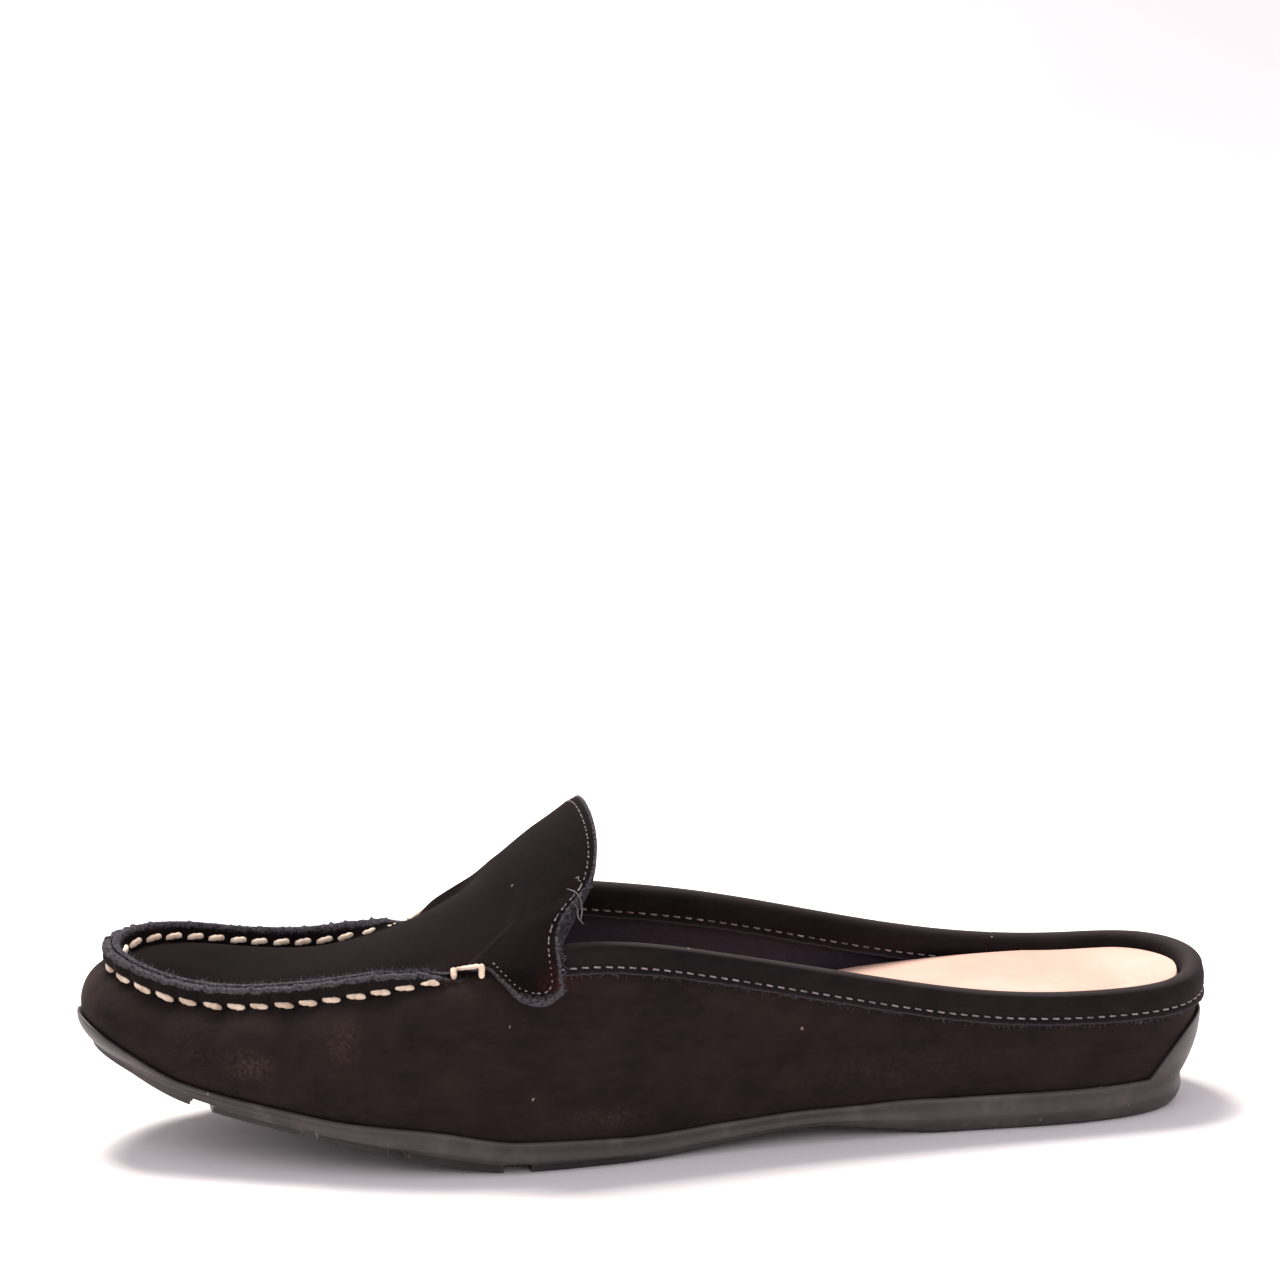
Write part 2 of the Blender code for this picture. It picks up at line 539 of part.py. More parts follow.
def apron_rim(i):
    """Edge section of the apron at place i, from its top face over the edge to its underside.
    It stands up inside the seam, crosses over the upper's edge at the tack, and behind that
    hangs down outside it as the wing."""
    behind = TACK_X - PLAN[i, 0]
    o, h = TOP_OUT[i], SEAM_LINE[i]
    lean = RIDGE_LEAN * RIDGE[i] / SEAM_RIDGE
    wall_in = o - WALL - GAP
    ridge = h + RIDGE[i] + GAP
    corner = (wall_in, h + GAP)
    under_edge = (wall_in - APRON_WALL * 0.3, h - APRON_WALL)
    upturn = [
        (wall_in - APRON_WALL, h + APRON_WALL * 0.3),
        (wall_in - APRON_WALL + lean, ridge),
        (wall_in + lean, ridge + GAP / 2),
        between((wall_in + lean, ridge + GAP / 2), corner, 0.5),
        corner,
        between(corner, under_edge, 0.33),
        between(corner, under_edge, 0.66),
        under_edge,
    ]
    span = TACK_X - WING_ALONG * FOOT_LENGTH
    progress = float(np.clip((behind - WING_TURN) / (span - WING_TURN), 0, 1))
    xs, drops = columns(WING, WING_COLUMNS, ["progress", "drop"])
    drop = WING_DROP * float(smooth(xs, drops, progress))
    clear = GAP + (BINDING_WALL + GAP) * min(1.0, progress * 2.5)
    lifted = h + clear + APRON_WALL
    inside = (o - WALL, h + clear + GAP)
    corner = (o + clear + APRON_WALL * 0.5, h + clear)
    over = [
        (o - WALL, lifted + APRON_WALL * 0.6),
        (o + clear * 0.5, lifted + APRON_WALL * 0.3),
        (o + clear + APRON_WALL * 0.6, lifted - APRON_WALL * 0.2),
        (o + clear + APRON_WALL * 0.7, h + clear + APRON_WALL * 0.4),
        corner,
        between(corner, inside, 0.33),
        between(corner, inside, 0.66),
        inside,
    ]
    skirt = [
        (o - WALL, lifted + APRON_WALL * 0.6),
        (o + clear + APRON_WALL * 0.7, lifted - APRON_WALL * 0.6),
        wall_at_depth(i, drop * 0.5, clear + APRON_WALL),
        wall_at_depth(i, drop, clear + APRON_WALL),
        wall_at_depth(i, drop, clear),
        wall_at_depth(i, drop * 0.5, clear),
        (o + clear, h + clear * 0.8),
        inside,
    ]
    to_over = float(np.clip(behind / WING_TURN + 0.5, 0, 1))
    to_skirt = float(np.clip(drop / (APRON_WALL * 2), 0, 1))
    crossing = [between(p, q, to_over) for p, q in zip(upturn, over)]
    return [between(p, q, to_skirt) for p, q in zip(crossing, skirt)]


def make_apron(parts):
    """Plug and tongue in one: a crowned sheet between its two edges, from toe tip to peak."""
    tip = HALF
    outer = [i for i in range(tip, 0, -1) if PLAN[i, 0] >= WING_ALONG * FOOT_LENGTH]
    rows = len(outer)
    inner = [(2 * tip - i) % AROUND for i in outer]
    rise = INSTEP_HEIGHT - THROAT_HEIGHT
    prog, along, crown = columns(SPINE, SPINE_COLUMNS, ["progress", "along", "crown"])
    points, top_ids, low_ids, rims = [], [], [], []

    def add(p):
        points.append(tuple(float(c) for c in p))
        return len(points) - 1

    def rim_ids(i):
        return [add(section_point(i, *q)) for q in apron_rim(i)]

    for k in range(rows):
        share = k / (rows - 1)
        left = rim_ids(outer[k])
        right = left if k == 0 else rim_ids(inner[k])
        rims.append((left, right))
        if k == 0:
            top_ids.append([left[0]])
            low_ids.append([left[-1]])
            continue
        a, b = np.array(points[left[0]]), np.array(points[right[0]])
        spine_x = float(smooth(prog, along, share)) * FOOT_LENGTH
        lift = float(smooth(prog, crown, share)) * rise
        tops, lows = [left[0]], [left[-1]]
        for c in range(1, ACROSS):
            v = c / ACROSS
            arch = np.sin(np.pi * v)
            across = (1 - np.cos(np.pi * v)) / 2
            mix = v * (1 - share) + across * share
            p = a * (1 - mix) + b * mix
            set_in = float(np.clip(min(v, 1 - v) / TONGUE_SET_IN, 0, 1))
            late = max(0.0, (share - SET_IN_FROM) / (1 - SET_IN_FROM))
            sweep = (1 - (1 - arch) ** TONGUE_SWEEP) * (1 - late + late * set_in ** 2 * (3 - 2 * set_in))
            p[0] += (spine_x - (a[0] + b[0]) / 2) * sweep
            p[2] += lift * arch
            thick = APRON_WALL * (1.1 + RIM_THICKEN * share * (1 - arch))
            q = np.array([p[0], p[1] * (1 - TONGUE_TAPER * share), p[2] - thick])
            tops.append(add(p))
            lows.append(add(q))
        top_ids.append(tops + [right[0]])
        low_ids.append(lows + [right[-1]])
    faces = []
    for k in range(1, rows):
        t0, t1, l0, l1 = top_ids[k - 1], top_ids[k], low_ids[k - 1], low_ids[k]
        for c in range(ACROSS):
            if k == 1:
                faces.append((t1[c], t1[c + 1], t0[0]))
                faces.append((l1[c + 1], l1[c], l0[0]))
            else:
                faces.append((t1[c], t1[c + 1], t0[c + 1], t0[c]))
                faces.append((l0[c + 1], l1[c + 1], l1[c], l0[c]))
        for s in range(len(rims[0][0]) - 1):
            l_prev, l_now = rims[k - 1][0], rims[k][0]
            r_prev, r_now = rims[k - 1][1], rims[k][1]
            faces.append((l_prev[s + 1], l_now[s + 1], l_now[s], l_prev[s]))
            faces.append((r_prev[s], r_now[s], r_now[s + 1], r_prev[s + 1]))
    end_left, end_right = rims[-1]
    t, l = top_ids[-1], low_ids[-1]
    for c in range(ACROSS):
        faces.append((t[c], l[c], l[c + 1], t[c + 1]))
    faces.append(tuple(end_left[1:-1]) + (l[0], t[0]))
    faces.append((t[ACROSS], l[ACROSS]) + tuple(end_right[-2:0:-1]))
    return solid("apron_tongue", points, faces, (0.016, 0.012, 0.011), 0.95, parts)


def settle(pieces):
    """Put the origin at the middle of the shoe's box, on the floor."""
    corners = [np.array([v.co[:] for v in piece.data.vertices]) for piece in pieces]
    low = np.min([c.min(0) for c in corners], 0)
    high = np.max([c.max(0) for c in corners], 0)
    shift = -(low + high) / 2
    shift[2] = 0.0
    for thing in bpy.data.objects:
        thing.location = thing.location + type(thing.location)(shift)


def main():
    parts = bpy.data.collections.new("loafer_mule")
    cutters = bpy.data.collections.new("cutters")
    bpy.context.scene.collection.children.link(parts)
    bpy.context.scene.collection.children.link(cutters)
    sole = make_outsole(parts)
    pieces = [sole, make_upper(parts), make_apron(parts), make_binding(parts), make_insole(parts)]
    cut_grooves(sole, cutters)
    settle(pieces)
    bpy.context.view_layer.update()


main()
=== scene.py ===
# %% [markdown]
# A loafer mule, dressed over its construction model. The frame holds the plain solids of the
# left shoe: rubber sole, upper, apron with tongue, collar binding and footbed. The cells below
# give each of them the surface of the real thing: napped black leather gathered along a raised
# hand-sewn seam, cream waxed thread, a bound topline and moulded rubber.

import bpy
import numpy as np
from mathutils import Matrix, Vector


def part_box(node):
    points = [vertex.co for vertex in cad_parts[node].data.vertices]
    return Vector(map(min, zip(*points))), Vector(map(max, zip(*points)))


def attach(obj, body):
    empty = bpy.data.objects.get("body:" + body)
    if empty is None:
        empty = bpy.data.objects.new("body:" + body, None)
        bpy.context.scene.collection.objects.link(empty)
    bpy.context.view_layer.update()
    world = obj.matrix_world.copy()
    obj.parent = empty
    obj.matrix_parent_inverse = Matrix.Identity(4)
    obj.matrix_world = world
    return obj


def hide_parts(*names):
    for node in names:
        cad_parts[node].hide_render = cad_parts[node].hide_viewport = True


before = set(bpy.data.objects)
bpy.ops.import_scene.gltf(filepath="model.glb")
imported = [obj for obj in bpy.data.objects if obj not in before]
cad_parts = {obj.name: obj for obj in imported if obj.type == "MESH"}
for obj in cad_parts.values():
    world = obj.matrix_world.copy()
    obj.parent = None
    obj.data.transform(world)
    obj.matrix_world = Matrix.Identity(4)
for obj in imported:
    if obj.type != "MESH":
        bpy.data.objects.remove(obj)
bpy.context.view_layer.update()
rng = np.random.default_rng(7)
scene = bpy.context.scene
print("frame:", sorted(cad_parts))

# %% [markdown]
# The photograph is a catalogue picture: a white sweep, light from all round and mostly from
# above and behind, so the shadow comes forward under the toe. A floor that bends up into a
# wall at the back does the same. It is a profile carried sideways: flat, a quarter round, up.

# %% Floor and backdrop
SWEEP_FRONT, SWEEP_BACK, SWEEP_RADIUS, SWEEP_TOP = 1.6, -1.3, 0.6, 2.6
SWEEP_HALF_WIDTH = 2.6


def sweep_profile(points):
    """Profile of the sweep: y runs from front to back on the floor, then a quarter circle
    (y = back - r sin a, z = r - r cos a), then straight up."""
    floor = np.stack([np.linspace(SWEEP_FRONT, SWEEP_BACK, points), np.zeros(points)], 1)
    a = np.linspace(0, np.pi / 2, points)[1:]
    bend = np.stack([SWEEP_BACK - SWEEP_RADIUS * np.sin(a), SWEEP_RADIUS * (1 - np.cos(a))], 1)
    top = np.array([[SWEEP_BACK - SWEEP_RADIUS, SWEEP_TOP]])
    return np.concatenate([floor, bend, top])


def quads(rows, cols, close_rows=False, close_cols=False):
    """Corner numbers of the cells of a grid of rows x cols points, as an array (cells, 4)."""
    r = np.arange(rows if close_rows else rows - 1)
    c = np.arange(cols if close_cols else cols - 1)
    r, c = (g.ravel() for g in np.meshgrid(r, c, indexing="ij"))
    up, right = (r + 1) % rows, (c + 1) % cols
    return np.stack([r * cols + c, r * cols + right, up * cols + right, up * cols + c], 1)


def new_piece(name, points, cells, masks=None, smooth_angle=50):
    """A mesh object at the origin, made from an array of points and a list of cell arrays.
    masks: one number a point, kept as attributes that the materials read."""
    mesh = bpy.data.meshes.new(name)
    faces = [face for cell in cells for face in cell.tolist()]
    mesh.from_pydata(np.asarray(points, float).reshape(-1, 3).tolist(), [], faces)
    mesh.validate()
    for key, values in (masks or {}).items():
        layer = mesh.attributes.new(key, "FLOAT", "POINT")
        layer.data.foreach_set("value", np.asarray(values, np.float32).ravel())
    mesh.shade_smooth()
    mesh.set_sharp_from_angle(angle=np.radians(smooth_angle))
    piece = bpy.data.objects.new(name, mesh)
    scene.collection.objects.link(piece)
    return piece


profile = sweep_profile(24)
wide = np.linspace(-SWEEP_HALF_WIDTH, SWEEP_HALF_WIDTH, 9)
sweep = np.stack([
    np.repeat(wide, len(profile)),
    np.tile(profile[:, 0], len(wide)),
    np.tile(profile[:, 1], len(wide)),
], 1)
floor = new_piece("floor_sweep", sweep, [quads(len(wide), len(profile))[:, ::-1]])
print("sweep:", len(sweep), "points")

# %% [markdown]
# The camera stands on the outer side, a little in front of the shoe's middle and about 14
# degrees above it, with a long lens. Its place is worked out from those angles. The shoe sits
# low in the picture, so the lens looks over it rather than being shifted.

# %% Camera
PICTURE = 1280                      # side of the photograph in pixels
CAMERA_YAW = 10.0                   # degrees from square-on, towards the toe
CAMERA_RISE = 14.5                  # degrees above the floor
CAMERA_ROLL = 0.45                  # degrees, as the photograph leans
CAMERA_DISTANCE = 1.10
PIXELS_PER_MM = 4.42                # scale of the photograph at the shoe
SHOE_CENTRE = Vector((0.0, 0.0, 0.033))
SHOE_PIXEL = (650.0, 974.0)         # where that point lies in the photograph


def place_camera():
    """Back = (sin a cos e, -cos a cos e, sin e) from the shoe; then the axes are rolled about
    the view line and turned so that the shoe's centre falls on its pixel."""
    a, e = np.radians(180 - CAMERA_YAW), np.radians(CAMERA_RISE)
    back = Vector((np.sin(a) * np.cos(e), -np.cos(a) * np.cos(e), np.sin(e)))
    right = Vector((np.cos(a), np.sin(a), 0.0))
    up = back.cross(right)
    place = SHOE_CENTRE + back * CAMERA_DISTANCE
    focal = PIXELS_PER_MM * 1000 * CAMERA_DISTANCE
    roll = Matrix.Rotation(-np.radians(CAMERA_ROLL), 3, back)
    right, up = roll @ right, roll @ up
    tilt = Matrix.Rotation(np.arctan((SHOE_PIXEL[1] - PICTURE / 2) / focal), 3, right)
    back, up = tilt @ back, tilt @ up
    turn = Matrix.Rotation(np.arctan((SHOE_PIXEL[0] - PICTURE / 2) / focal), 3, up)
    back, right = turn @ back, turn @ right
    camera = bpy.data.objects.new("camera", bpy.data.cameras.new("camera"))
    camera.data.sensor_width = 36.0
    camera.data.lens = 36.0 * focal / PICTURE
    camera.data.clip_start, camera.data.clip_end = 0.05, 20.0
    axes = Matrix((right, up, back)).transposed().to_4x4()
    camera.matrix_world = Matrix.Translation(place) @ axes
    scene.collection.objects.link(camera)
    scene.camera = camera
    return camera


camera = place_camera()
print("camera:", [round(c, 3) for c in camera.location], "lens", round(camera.data.lens, 1))

# %% [markdown]
# Light: a bright white world for the high key, a large soft panel above and behind for the
# shadow that falls forward, and a low one beside the camera that shows the nap and the thread.

# %% Light
KEY_POWER, FILL_POWER, WORLD_POWER = 32.0, 4.0, 0.74
WORLD_COLOUR = (0.955, 0.905, 1.0, 1.0)      # cool, so that the shadow is slightly violet


def soft_panel(name, place, aim, size, power, colour):
    """A square area light at a place, turned towards aim."""
    data = bpy.data.lights.new(name, "AREA")
    data.shape, data.size, data.energy, data.color = "SQUARE", size, power, colour
    lamp = bpy.data.objects.new(name, data)
    lamp.location = place
    lamp.rotation_euler = (Vector(aim) - Vector(place)).to_track_quat("-Z", "Y").to_euler()
    scene.collection.objects.link(lamp)
    return lamp


soft_panel("panel_above", (0.20, -0.62, 1.25), (0, 0, 0.03), 0.55, KEY_POWER, (1.0, 0.985, 0.955))
soft_panel("panel_front", (-0.35, 1.35, 0.75), (0, 0, 0.03), 0.9, FILL_POWER, (1.0, 0.99, 0.98))
world = bpy.data.worlds.new("studio")
world.use_nodes = True
world.node_tree.nodes["Background"].inputs["Color"].default_value = WORLD_COLOUR
world.node_tree.nodes["Background"].inputs["Strength"].default_value = WORLD_POWER
scene.world = world
scene.view_settings.view_transform = "Standard"
scene.view_settings.look = "None"
print("lights:", KEY_POWER, FILL_POWER, WORLD_POWER)

# %% [markdown]
# A shoe is drawn from its last, the wooden foot it is built on. Everything here follows one
# closed line, the feather line where the upper meets the sole, so the last is kept as a short
# table of stations round the foot. Each station says where the line runs and how the wall above
# it swells, leans in and ends. The sizes are those of the construction model, in metres.

# %% Sizes of the last, the walls and the edges
FOOT_LENGTH = 0.2455        # feather line, heel back to toe tip
BALL_WIDTH = 0.0800         # feather line across the ball
HEEL_WIDTH = 0.0545         # feather line across the heel seat
RIM_HEIGHT = 0.0300         # finished topline above the floor at the heel
THROAT_HEIGHT = 0.0492      # finished topline above the floor beside the tongue
INSTEP_HEIGHT = 0.0735      # peak of the tongue above the floor
TOE_HEIGHT = 0.0405         # seam valley above the floor at the toe tip
SEAM_HEIGHT = 0.0355        # seam valley above the floor at its lowest
TOE_SPRING = 0.0225         # underside of the sole above the floor at the toe tip
ARCH_LIFT = 0.0034          # underside of the sole above the floor at the waist
HEEL_THICKNESS = 0.0073     # sole at the heel
SOLE_THICKNESS = 0.0052     # sole at the ball
HEEL_SEAT = 0.0285          # footbed edge above the floor at the heel
INSOLE_THICKNESS = 0.0026   # footbed at the ball

WALL = 0.0018               # upper leather with its lining
APRON_WALL = 0.0015         # apron and tongue leather
BINDING_WALL = 0.0011       # folded collar binding
GAP = 0.0003                # clearance between pieces that touch
SEAM_RIDGE = 0.0043         # raised seam above its valley
RIDGE_LEAN = 0.0010         # how far the raised seam leans outwards
BINDING_DROP = 0.0057       # outer leg of the binding
BINDING_INNER_DROP = 0.0062 # inner leg of the binding
BINDING_HIDDEN = 0.0060     # length of binding under each tongue wing
WING_DROP = 0.0106          # tongue wing below the topline
LIP_HEIGHT = 0.0010         # rubber lip up the side of the upper
LIP_THICKNESS = 0.0012      # rubber lip and bumpers
HEEL_GUARD = 0.0130         # rubber guard up the heel
TOE_GUARD = 0.0060          # rubber bumper up the toe
TREAD = 0.0020              # forefoot tread pads below the base of the sole
TREAD_INSET = 0.0012        # step from the side of the base to the pads
GROOVE_DEPTH = 0.0023       # grooves between the pads
FOOTBED_DISH = 0.0016       # hollow of the footbed under the heel
HEEL_CHAMFER = 0.0014       # slope of the heel block at the floor
FOOTBED_CLEAR = 0.00105     # footbed inside the binding
RIDGE_FADE = 0.0065         # distance over which the raised seam grows in front of its tack

# Shares that shape the profiles
SWELL_AT, SWELL_REACH = 0.36, 1.35      # height and pull of the wall's lower control point
SHOULDER_AT = 0.86                      # height of its upper control point
TREAD_FROM, TREAD_BLEND = 0.50, 0.06    # where the tread pads begin, shares of FOOT_LENGTH
DISH_END = 0.55                         # where the hollow of the footbed ends, same
EDGE_BLEND, DIP_WIDTH = 3, 1.4          # blends behind and under the tack, against WING_TURN
TONGUE_SWEEP = 2.2                      # how squarely the tongue's rear edge sweeps back
TONGUE_SET_IN = 0.14                    # width of the curve from wing to tongue, share across
SET_IN_FROM = 0.78                      # row where that curve begins, share of the rows
TONGUE_TAPER = 0.028                    # underside of the tongue narrower than its top
RIM_THICKEN = 0.35                      # tongue thicker towards its wings

AROUND = 720                # points round the shoe, even
HALF = AROUND // 2
FINE_LINE = 7200            # points of the feather line before it is evened out
print("foot:", FOOT_LENGTH * 1000, "mm long,", AROUND, "places round it")

# %% [markdown]
# The stations round the last. Along and across give the feather line, as shares of the foot's
# length and of half the named width. Swell, shoulder and inset say how far the wall stands out
# from it at two fifths of its height, near its top and at its top edge, as shares of the ball
# width. Edge is a share of the named height and ridge one of the raised seam. Guard is the top
# of the sole's guard above the feather line: where it is under the lip, the plain lip runs on.

# %% Stations round the last
HEEL, BALL = HEEL_WIDTH / 2, BALL_WIDTH / 2
RIM, THROAT, SEAM, TOE = RIM_HEIGHT, THROAT_HEIGHT, SEAM_HEIGHT, TOE_HEIGHT
LAST_COLUMNS = "name along across width swell shoulder inset edge height ridge guard".split()
LAST = [
    ("heel back", 0.000, 0.00, HEEL, 0.050, 0.075, 0.064, 1.07, RIM, 0.0, HEEL_GUARD),
    ("heel corner, outer", 0.022, 0.66, HEEL, 0.035, 0.045, 0.030, 1.01, RIM, 0.0, HEEL_GUARD * 0.74),
    ("heel side, outer", 0.080, 0.95, HEEL, 0.012, 0.000, -0.018, 0.99, RIM, 0.0, HEEL_GUARD * -0.62),
    ("heel seat, outer", 0.190, 1.04, HEEL, 0.012, 0.000, -0.022, 1.04, RIM, 0.0, HEEL_GUARD * -0.20),
    ("waist, outer", 0.320, 1.08, HEEL, 0.015, 0.006, -0.016, 1.24, RIM, 0.0, LIP_HEIGHT),
    ("instep, outer", 0.450, 1.22, HEEL, 0.018, 0.012, -0.030, 0.905, THROAT, 0.0, LIP_HEIGHT),
    ("throat, outer", 0.555, 0.96, BALL, 0.018, 0.010, -0.050, 1.000, THROAT, 0.0, LIP_HEIGHT),
    ("wing, outer", 0.620, 1.01, BALL, 0.020, 0.016, -0.065, 0.985, THROAT, 0.0, LIP_HEIGHT),
    ("tack, outer", 0.690, 1.00, BALL, 0.020, 0.018, -0.085, 0.882, THROAT, 0.25, LIP_HEIGHT),
    ("vamp, outer", 0.775, 0.90, BALL, 0.022, 0.022, -0.090, 1.095, SEAM, 1.0, LIP_HEIGHT),
    ("cheek, outer", 0.865, 0.655, BALL, 0.026, 0.026, -0.085, 0.985, SEAM, 1.0, LIP_HEIGHT),
    ("toe, outer", 0.942, 0.405, BALL, 0.034, 0.036, -0.070, 0.985, SEAM, 1.0, LIP_HEIGHT * 1.2),
    ("toe corner, outer", 0.987, 0.17, BALL, 0.050, 0.050, -0.045, 0.945, TOE, 1.0, TOE_GUARD * 0.7),
    ("toe tip", 1.000, -0.10, BALL, 0.057, 0.056, -0.030, 1.000, TOE, 1.0, TOE_GUARD),
    ("toe corner, inner", 0.985, -0.375, BALL, 0.044, 0.046, -0.050, 1.030, TOE, 1.0, TOE_GUARD * 0.7),
    ("toe, inner", 0.930, -0.645, BALL, 0.034, 0.036, -0.090, 1.010, TOE, 1.0, LIP_HEIGHT * 1.2),
    ("cheek, inner", 0.850, -0.83, BALL, 0.026, 0.026, -0.105, 1.050, SEAM, 1.0, LIP_HEIGHT),
    ("vamp, inner", 0.770, -0.955, BALL, 0.022, 0.022, -0.110, 1.030, SEAM, 1.0, LIP_HEIGHT),
    ("tack, inner", 0.685, -0.955, BALL, 0.020, 0.018, -0.100, 0.850, THROAT, 0.25, LIP_HEIGHT),
    ("wing, inner", 0.615, -0.85, BALL, 0.020, 0.016, -0.070, 0.985, THROAT, 0.0, LIP_HEIGHT),
    ("throat, inner", 0.545, -0.72, BALL, 0.022, 0.014, -0.040, 1.000, THROAT, 0.0, LIP_HEIGHT),
    ("instep, inner", 0.430, -0.84, HEEL, 0.030, 0.022, -0.012, 0.935, THROAT, 0.0, LIP_HEIGHT),
    ("waist, inner", 0.310, -0.88, HEEL, 0.024, 0.012, -0.014, 1.31, RIM, 0.0, LIP_HEIGHT),
    ("heel seat, inner", 0.180, -0.96, HEEL, 0.012, 0.000, -0.022, 1.10, RIM, 0.0, HEEL_GUARD * -0.20),
    ("heel side, inner", 0.078, -0.92, HEEL, 0.012, 0.000, -0.018, 1.05, RIM, 0.0, HEEL_GUARD * -0.62),
    ("heel corner, inner", 0.022, -0.64, HEEL, 0.035, 0.045, 0.030, 1.07, RIM, 0.0, HEEL_GUARD * 0.74),
]
print("stations:", len(LAST))

# %% [markdown]
# Seen from the side, the shoe needs a few lines more. The sole has a flat heel, a lifted waist
# and a toe that springs up off the floor. The footbed climbs to the heel on a wedge. The apron's
# spine rises slowly and then turns up into the tongue, whose wings hang down behind the tacks.

# %% Tables along the shoe
# Sole: its underside and its thickness at shares of FOOT_LENGTH from the heel
SOLE_COLUMNS = "name along under thickness".split()
SOLE = [
    ("heel back", 0.000, 0.0, HEEL_THICKNESS),
    ("heel front", 0.245, 0.0, HEEL_THICKNESS),
    ("breast", 0.290, ARCH_LIFT * 0.40, HEEL_THICKNESS * 0.80),
    ("arch", 0.365, ARCH_LIFT, SOLE_THICKNESS * 0.68),
    ("waist", 0.450, ARCH_LIFT * 0.55, SOLE_THICKNESS * 0.80),
    ("joint", 0.545, 0.0, SOLE_THICKNESS),
    ("ball", 0.640, 0.0, SOLE_THICKNESS * 1.18),
    ("tread", 0.710, TOE_SPRING * 0.105, SOLE_THICKNESS * 1.25),
    ("vamp", 0.830, TOE_SPRING * 0.355, SOLE_THICKNESS * 0.82),
    ("toe", 0.930, TOE_SPRING * 0.590, SOLE_THICKNESS * 0.80),
    ("toe tip", 1.000, TOE_SPRING * 0.96, SOLE_THICKNESS * 0.50),
]

# Grooves of the tread: place as a share of FOOT_LENGTH, width in metres
GROOVES = [
    ("toe groove", 0.9170, 0.0048),
    ("cheek groove", 0.8250, 0.0034),
    ("vamp groove", 0.7500, 0.0042),
    ("ball groove", 0.6440, 0.0062),
]

# Footbed: top surface above the sole, as a share of the way up to the heel seat
FOOTBED_COLUMNS = "name along lift".split()
FOOTBED = [
    ("heel back", 0.000, 1.02),
    ("heel", 0.120, 1.00),
    ("seat", 0.280, 0.89),
    ("shank", 0.380, 0.66),
    ("waist", 0.480, 0.33),
    ("joint", 0.580, 0.08),
    ("ball", 0.660, 0.00),
    ("toe tip", 1.000, 0.00),
]

# Spine of the apron and tongue: place as a share of FOOT_LENGTH, crown above its edges
# as a share of the rise from the throat to the tongue's peak
SPINE_COLUMNS = "name progress along crown".split()
SPINE = [
    ("toe tip", 0.00, 0.984, 0.00),
    ("toe", 0.20, 0.915, 0.06),
    ("cheek", 0.45, 0.815, 0.12),
    ("vamp", 0.62, 0.735, 0.25),
    ("instep", 0.76, 0.665, 0.46),
    ("tongue", 0.90, 0.596, 0.76),
    ("tongue peak", 1.00, 0.557, 0.91),
]

# Wing of the tongue, by the distance from its tack to its rear edge
WING_COLUMNS = "name progress drop".split()
WING = [
    ("tack", 0.00, 0.00),
    ("front", 0.18, 0.34),
    ("curve", 0.42, 0.82),
    ("lowest", 0.72, 1.00),
    ("rear", 1.00, 0.82),
]
TACK_ALONG = 0.684          # tack of the seam, share of FOOT_LENGTH
WING_ALONG = 0.600          # rear edge of the wing, share of FOOT_LENGTH
WING_TURN = 0.0035          # distance over which the apron crosses to the outside
TACK_DIP = 0.0018           # dip of the upper's edge where the apron crosses it
print("tables:", [len(table) for table in (SOLE, GROOVES, FOOTBED, SPINE, WING)], "rows")

# %% [markdown]
# Between the stations the values must run smoothly, or the leather would show corners. Round
# the shoe a closed cubic spline does it. Along the shoe a cubic that never overshoots keeps
# flat stretches flat, such as the heel that stands on the floor.

# %% Curves through the tables
def columns(table, names, wanted):
    """Columns of a table as arrays, in the order wanted."""
    return [np.array([row[names.index(w)] for row in table], float) for w in wanted]


def smooth(xs, ys, x):
    """Monotone cubic through (xs, ys): flat where neighbours are equal, never overshooting."""
    h = np.diff(xs)
    slope = np.diff(ys) / h
    same = slope[:-1] * slope[1:] > 0
    inner = np.where(same, 2 * slope[:-1] * slope[1:] / np.where(same, slope[:-1] + slope[1:], 1), 0)
    tangent = np.concatenate([[slope[0]], inner, [slope[-1]]])
    x = np.clip(x, xs[0], xs[-1])
    i = np.clip(np.searchsorted(xs, x) - 1, 0, len(h) - 1)
    t = (x - xs[i]) / h[i]
    a = (1 + 2 * t) * (1 - t) ** 2 * ys[i] + t ** 2 * (3 - 2 * t) * ys[i + 1]
    b = t * (1 - t) ** 2 * h[i] * tangent[i] + t ** 2 * (t - 1) * h[i] * tangent[i + 1]
    return a + b


def round_spline(knots, values, at):
    """Closed cubic spline: knots 0..1 of one turn, values (rows, columns), read at shares `at`."""
    n = len(knots)
    h = np.diff(np.append(knots, 1.0))
    before = np.roll(h, 1)
    system = np.zeros((n, n))
    rows = np.arange(n)
    system[rows, rows] = 2 * (before + h)
    system[rows, (rows - 1) % n] = before
    system[rows, (rows + 1) % n] = h
    rise = (np.roll(values, -1, 0) - values) / h[:, None]
    bend = np.linalg.solve(system, 6 * (rise - np.roll(rise, 1, 0)))
    at = np.mod(at, 1.0)
    i = np.searchsorted(knots, at, side="right") - 1
    t = (at - knots[i])[:, None]
    step = h[i][:, None]
    m0, m1 = bend[i], bend[(i + 1) % n]
    slope = rise[i] - step * (2 * m0 + m1) / 6
    return values[i] + slope * t + m0 / 2 * t ** 2 + (m1 - m0) / (6 * step) * t ** 3


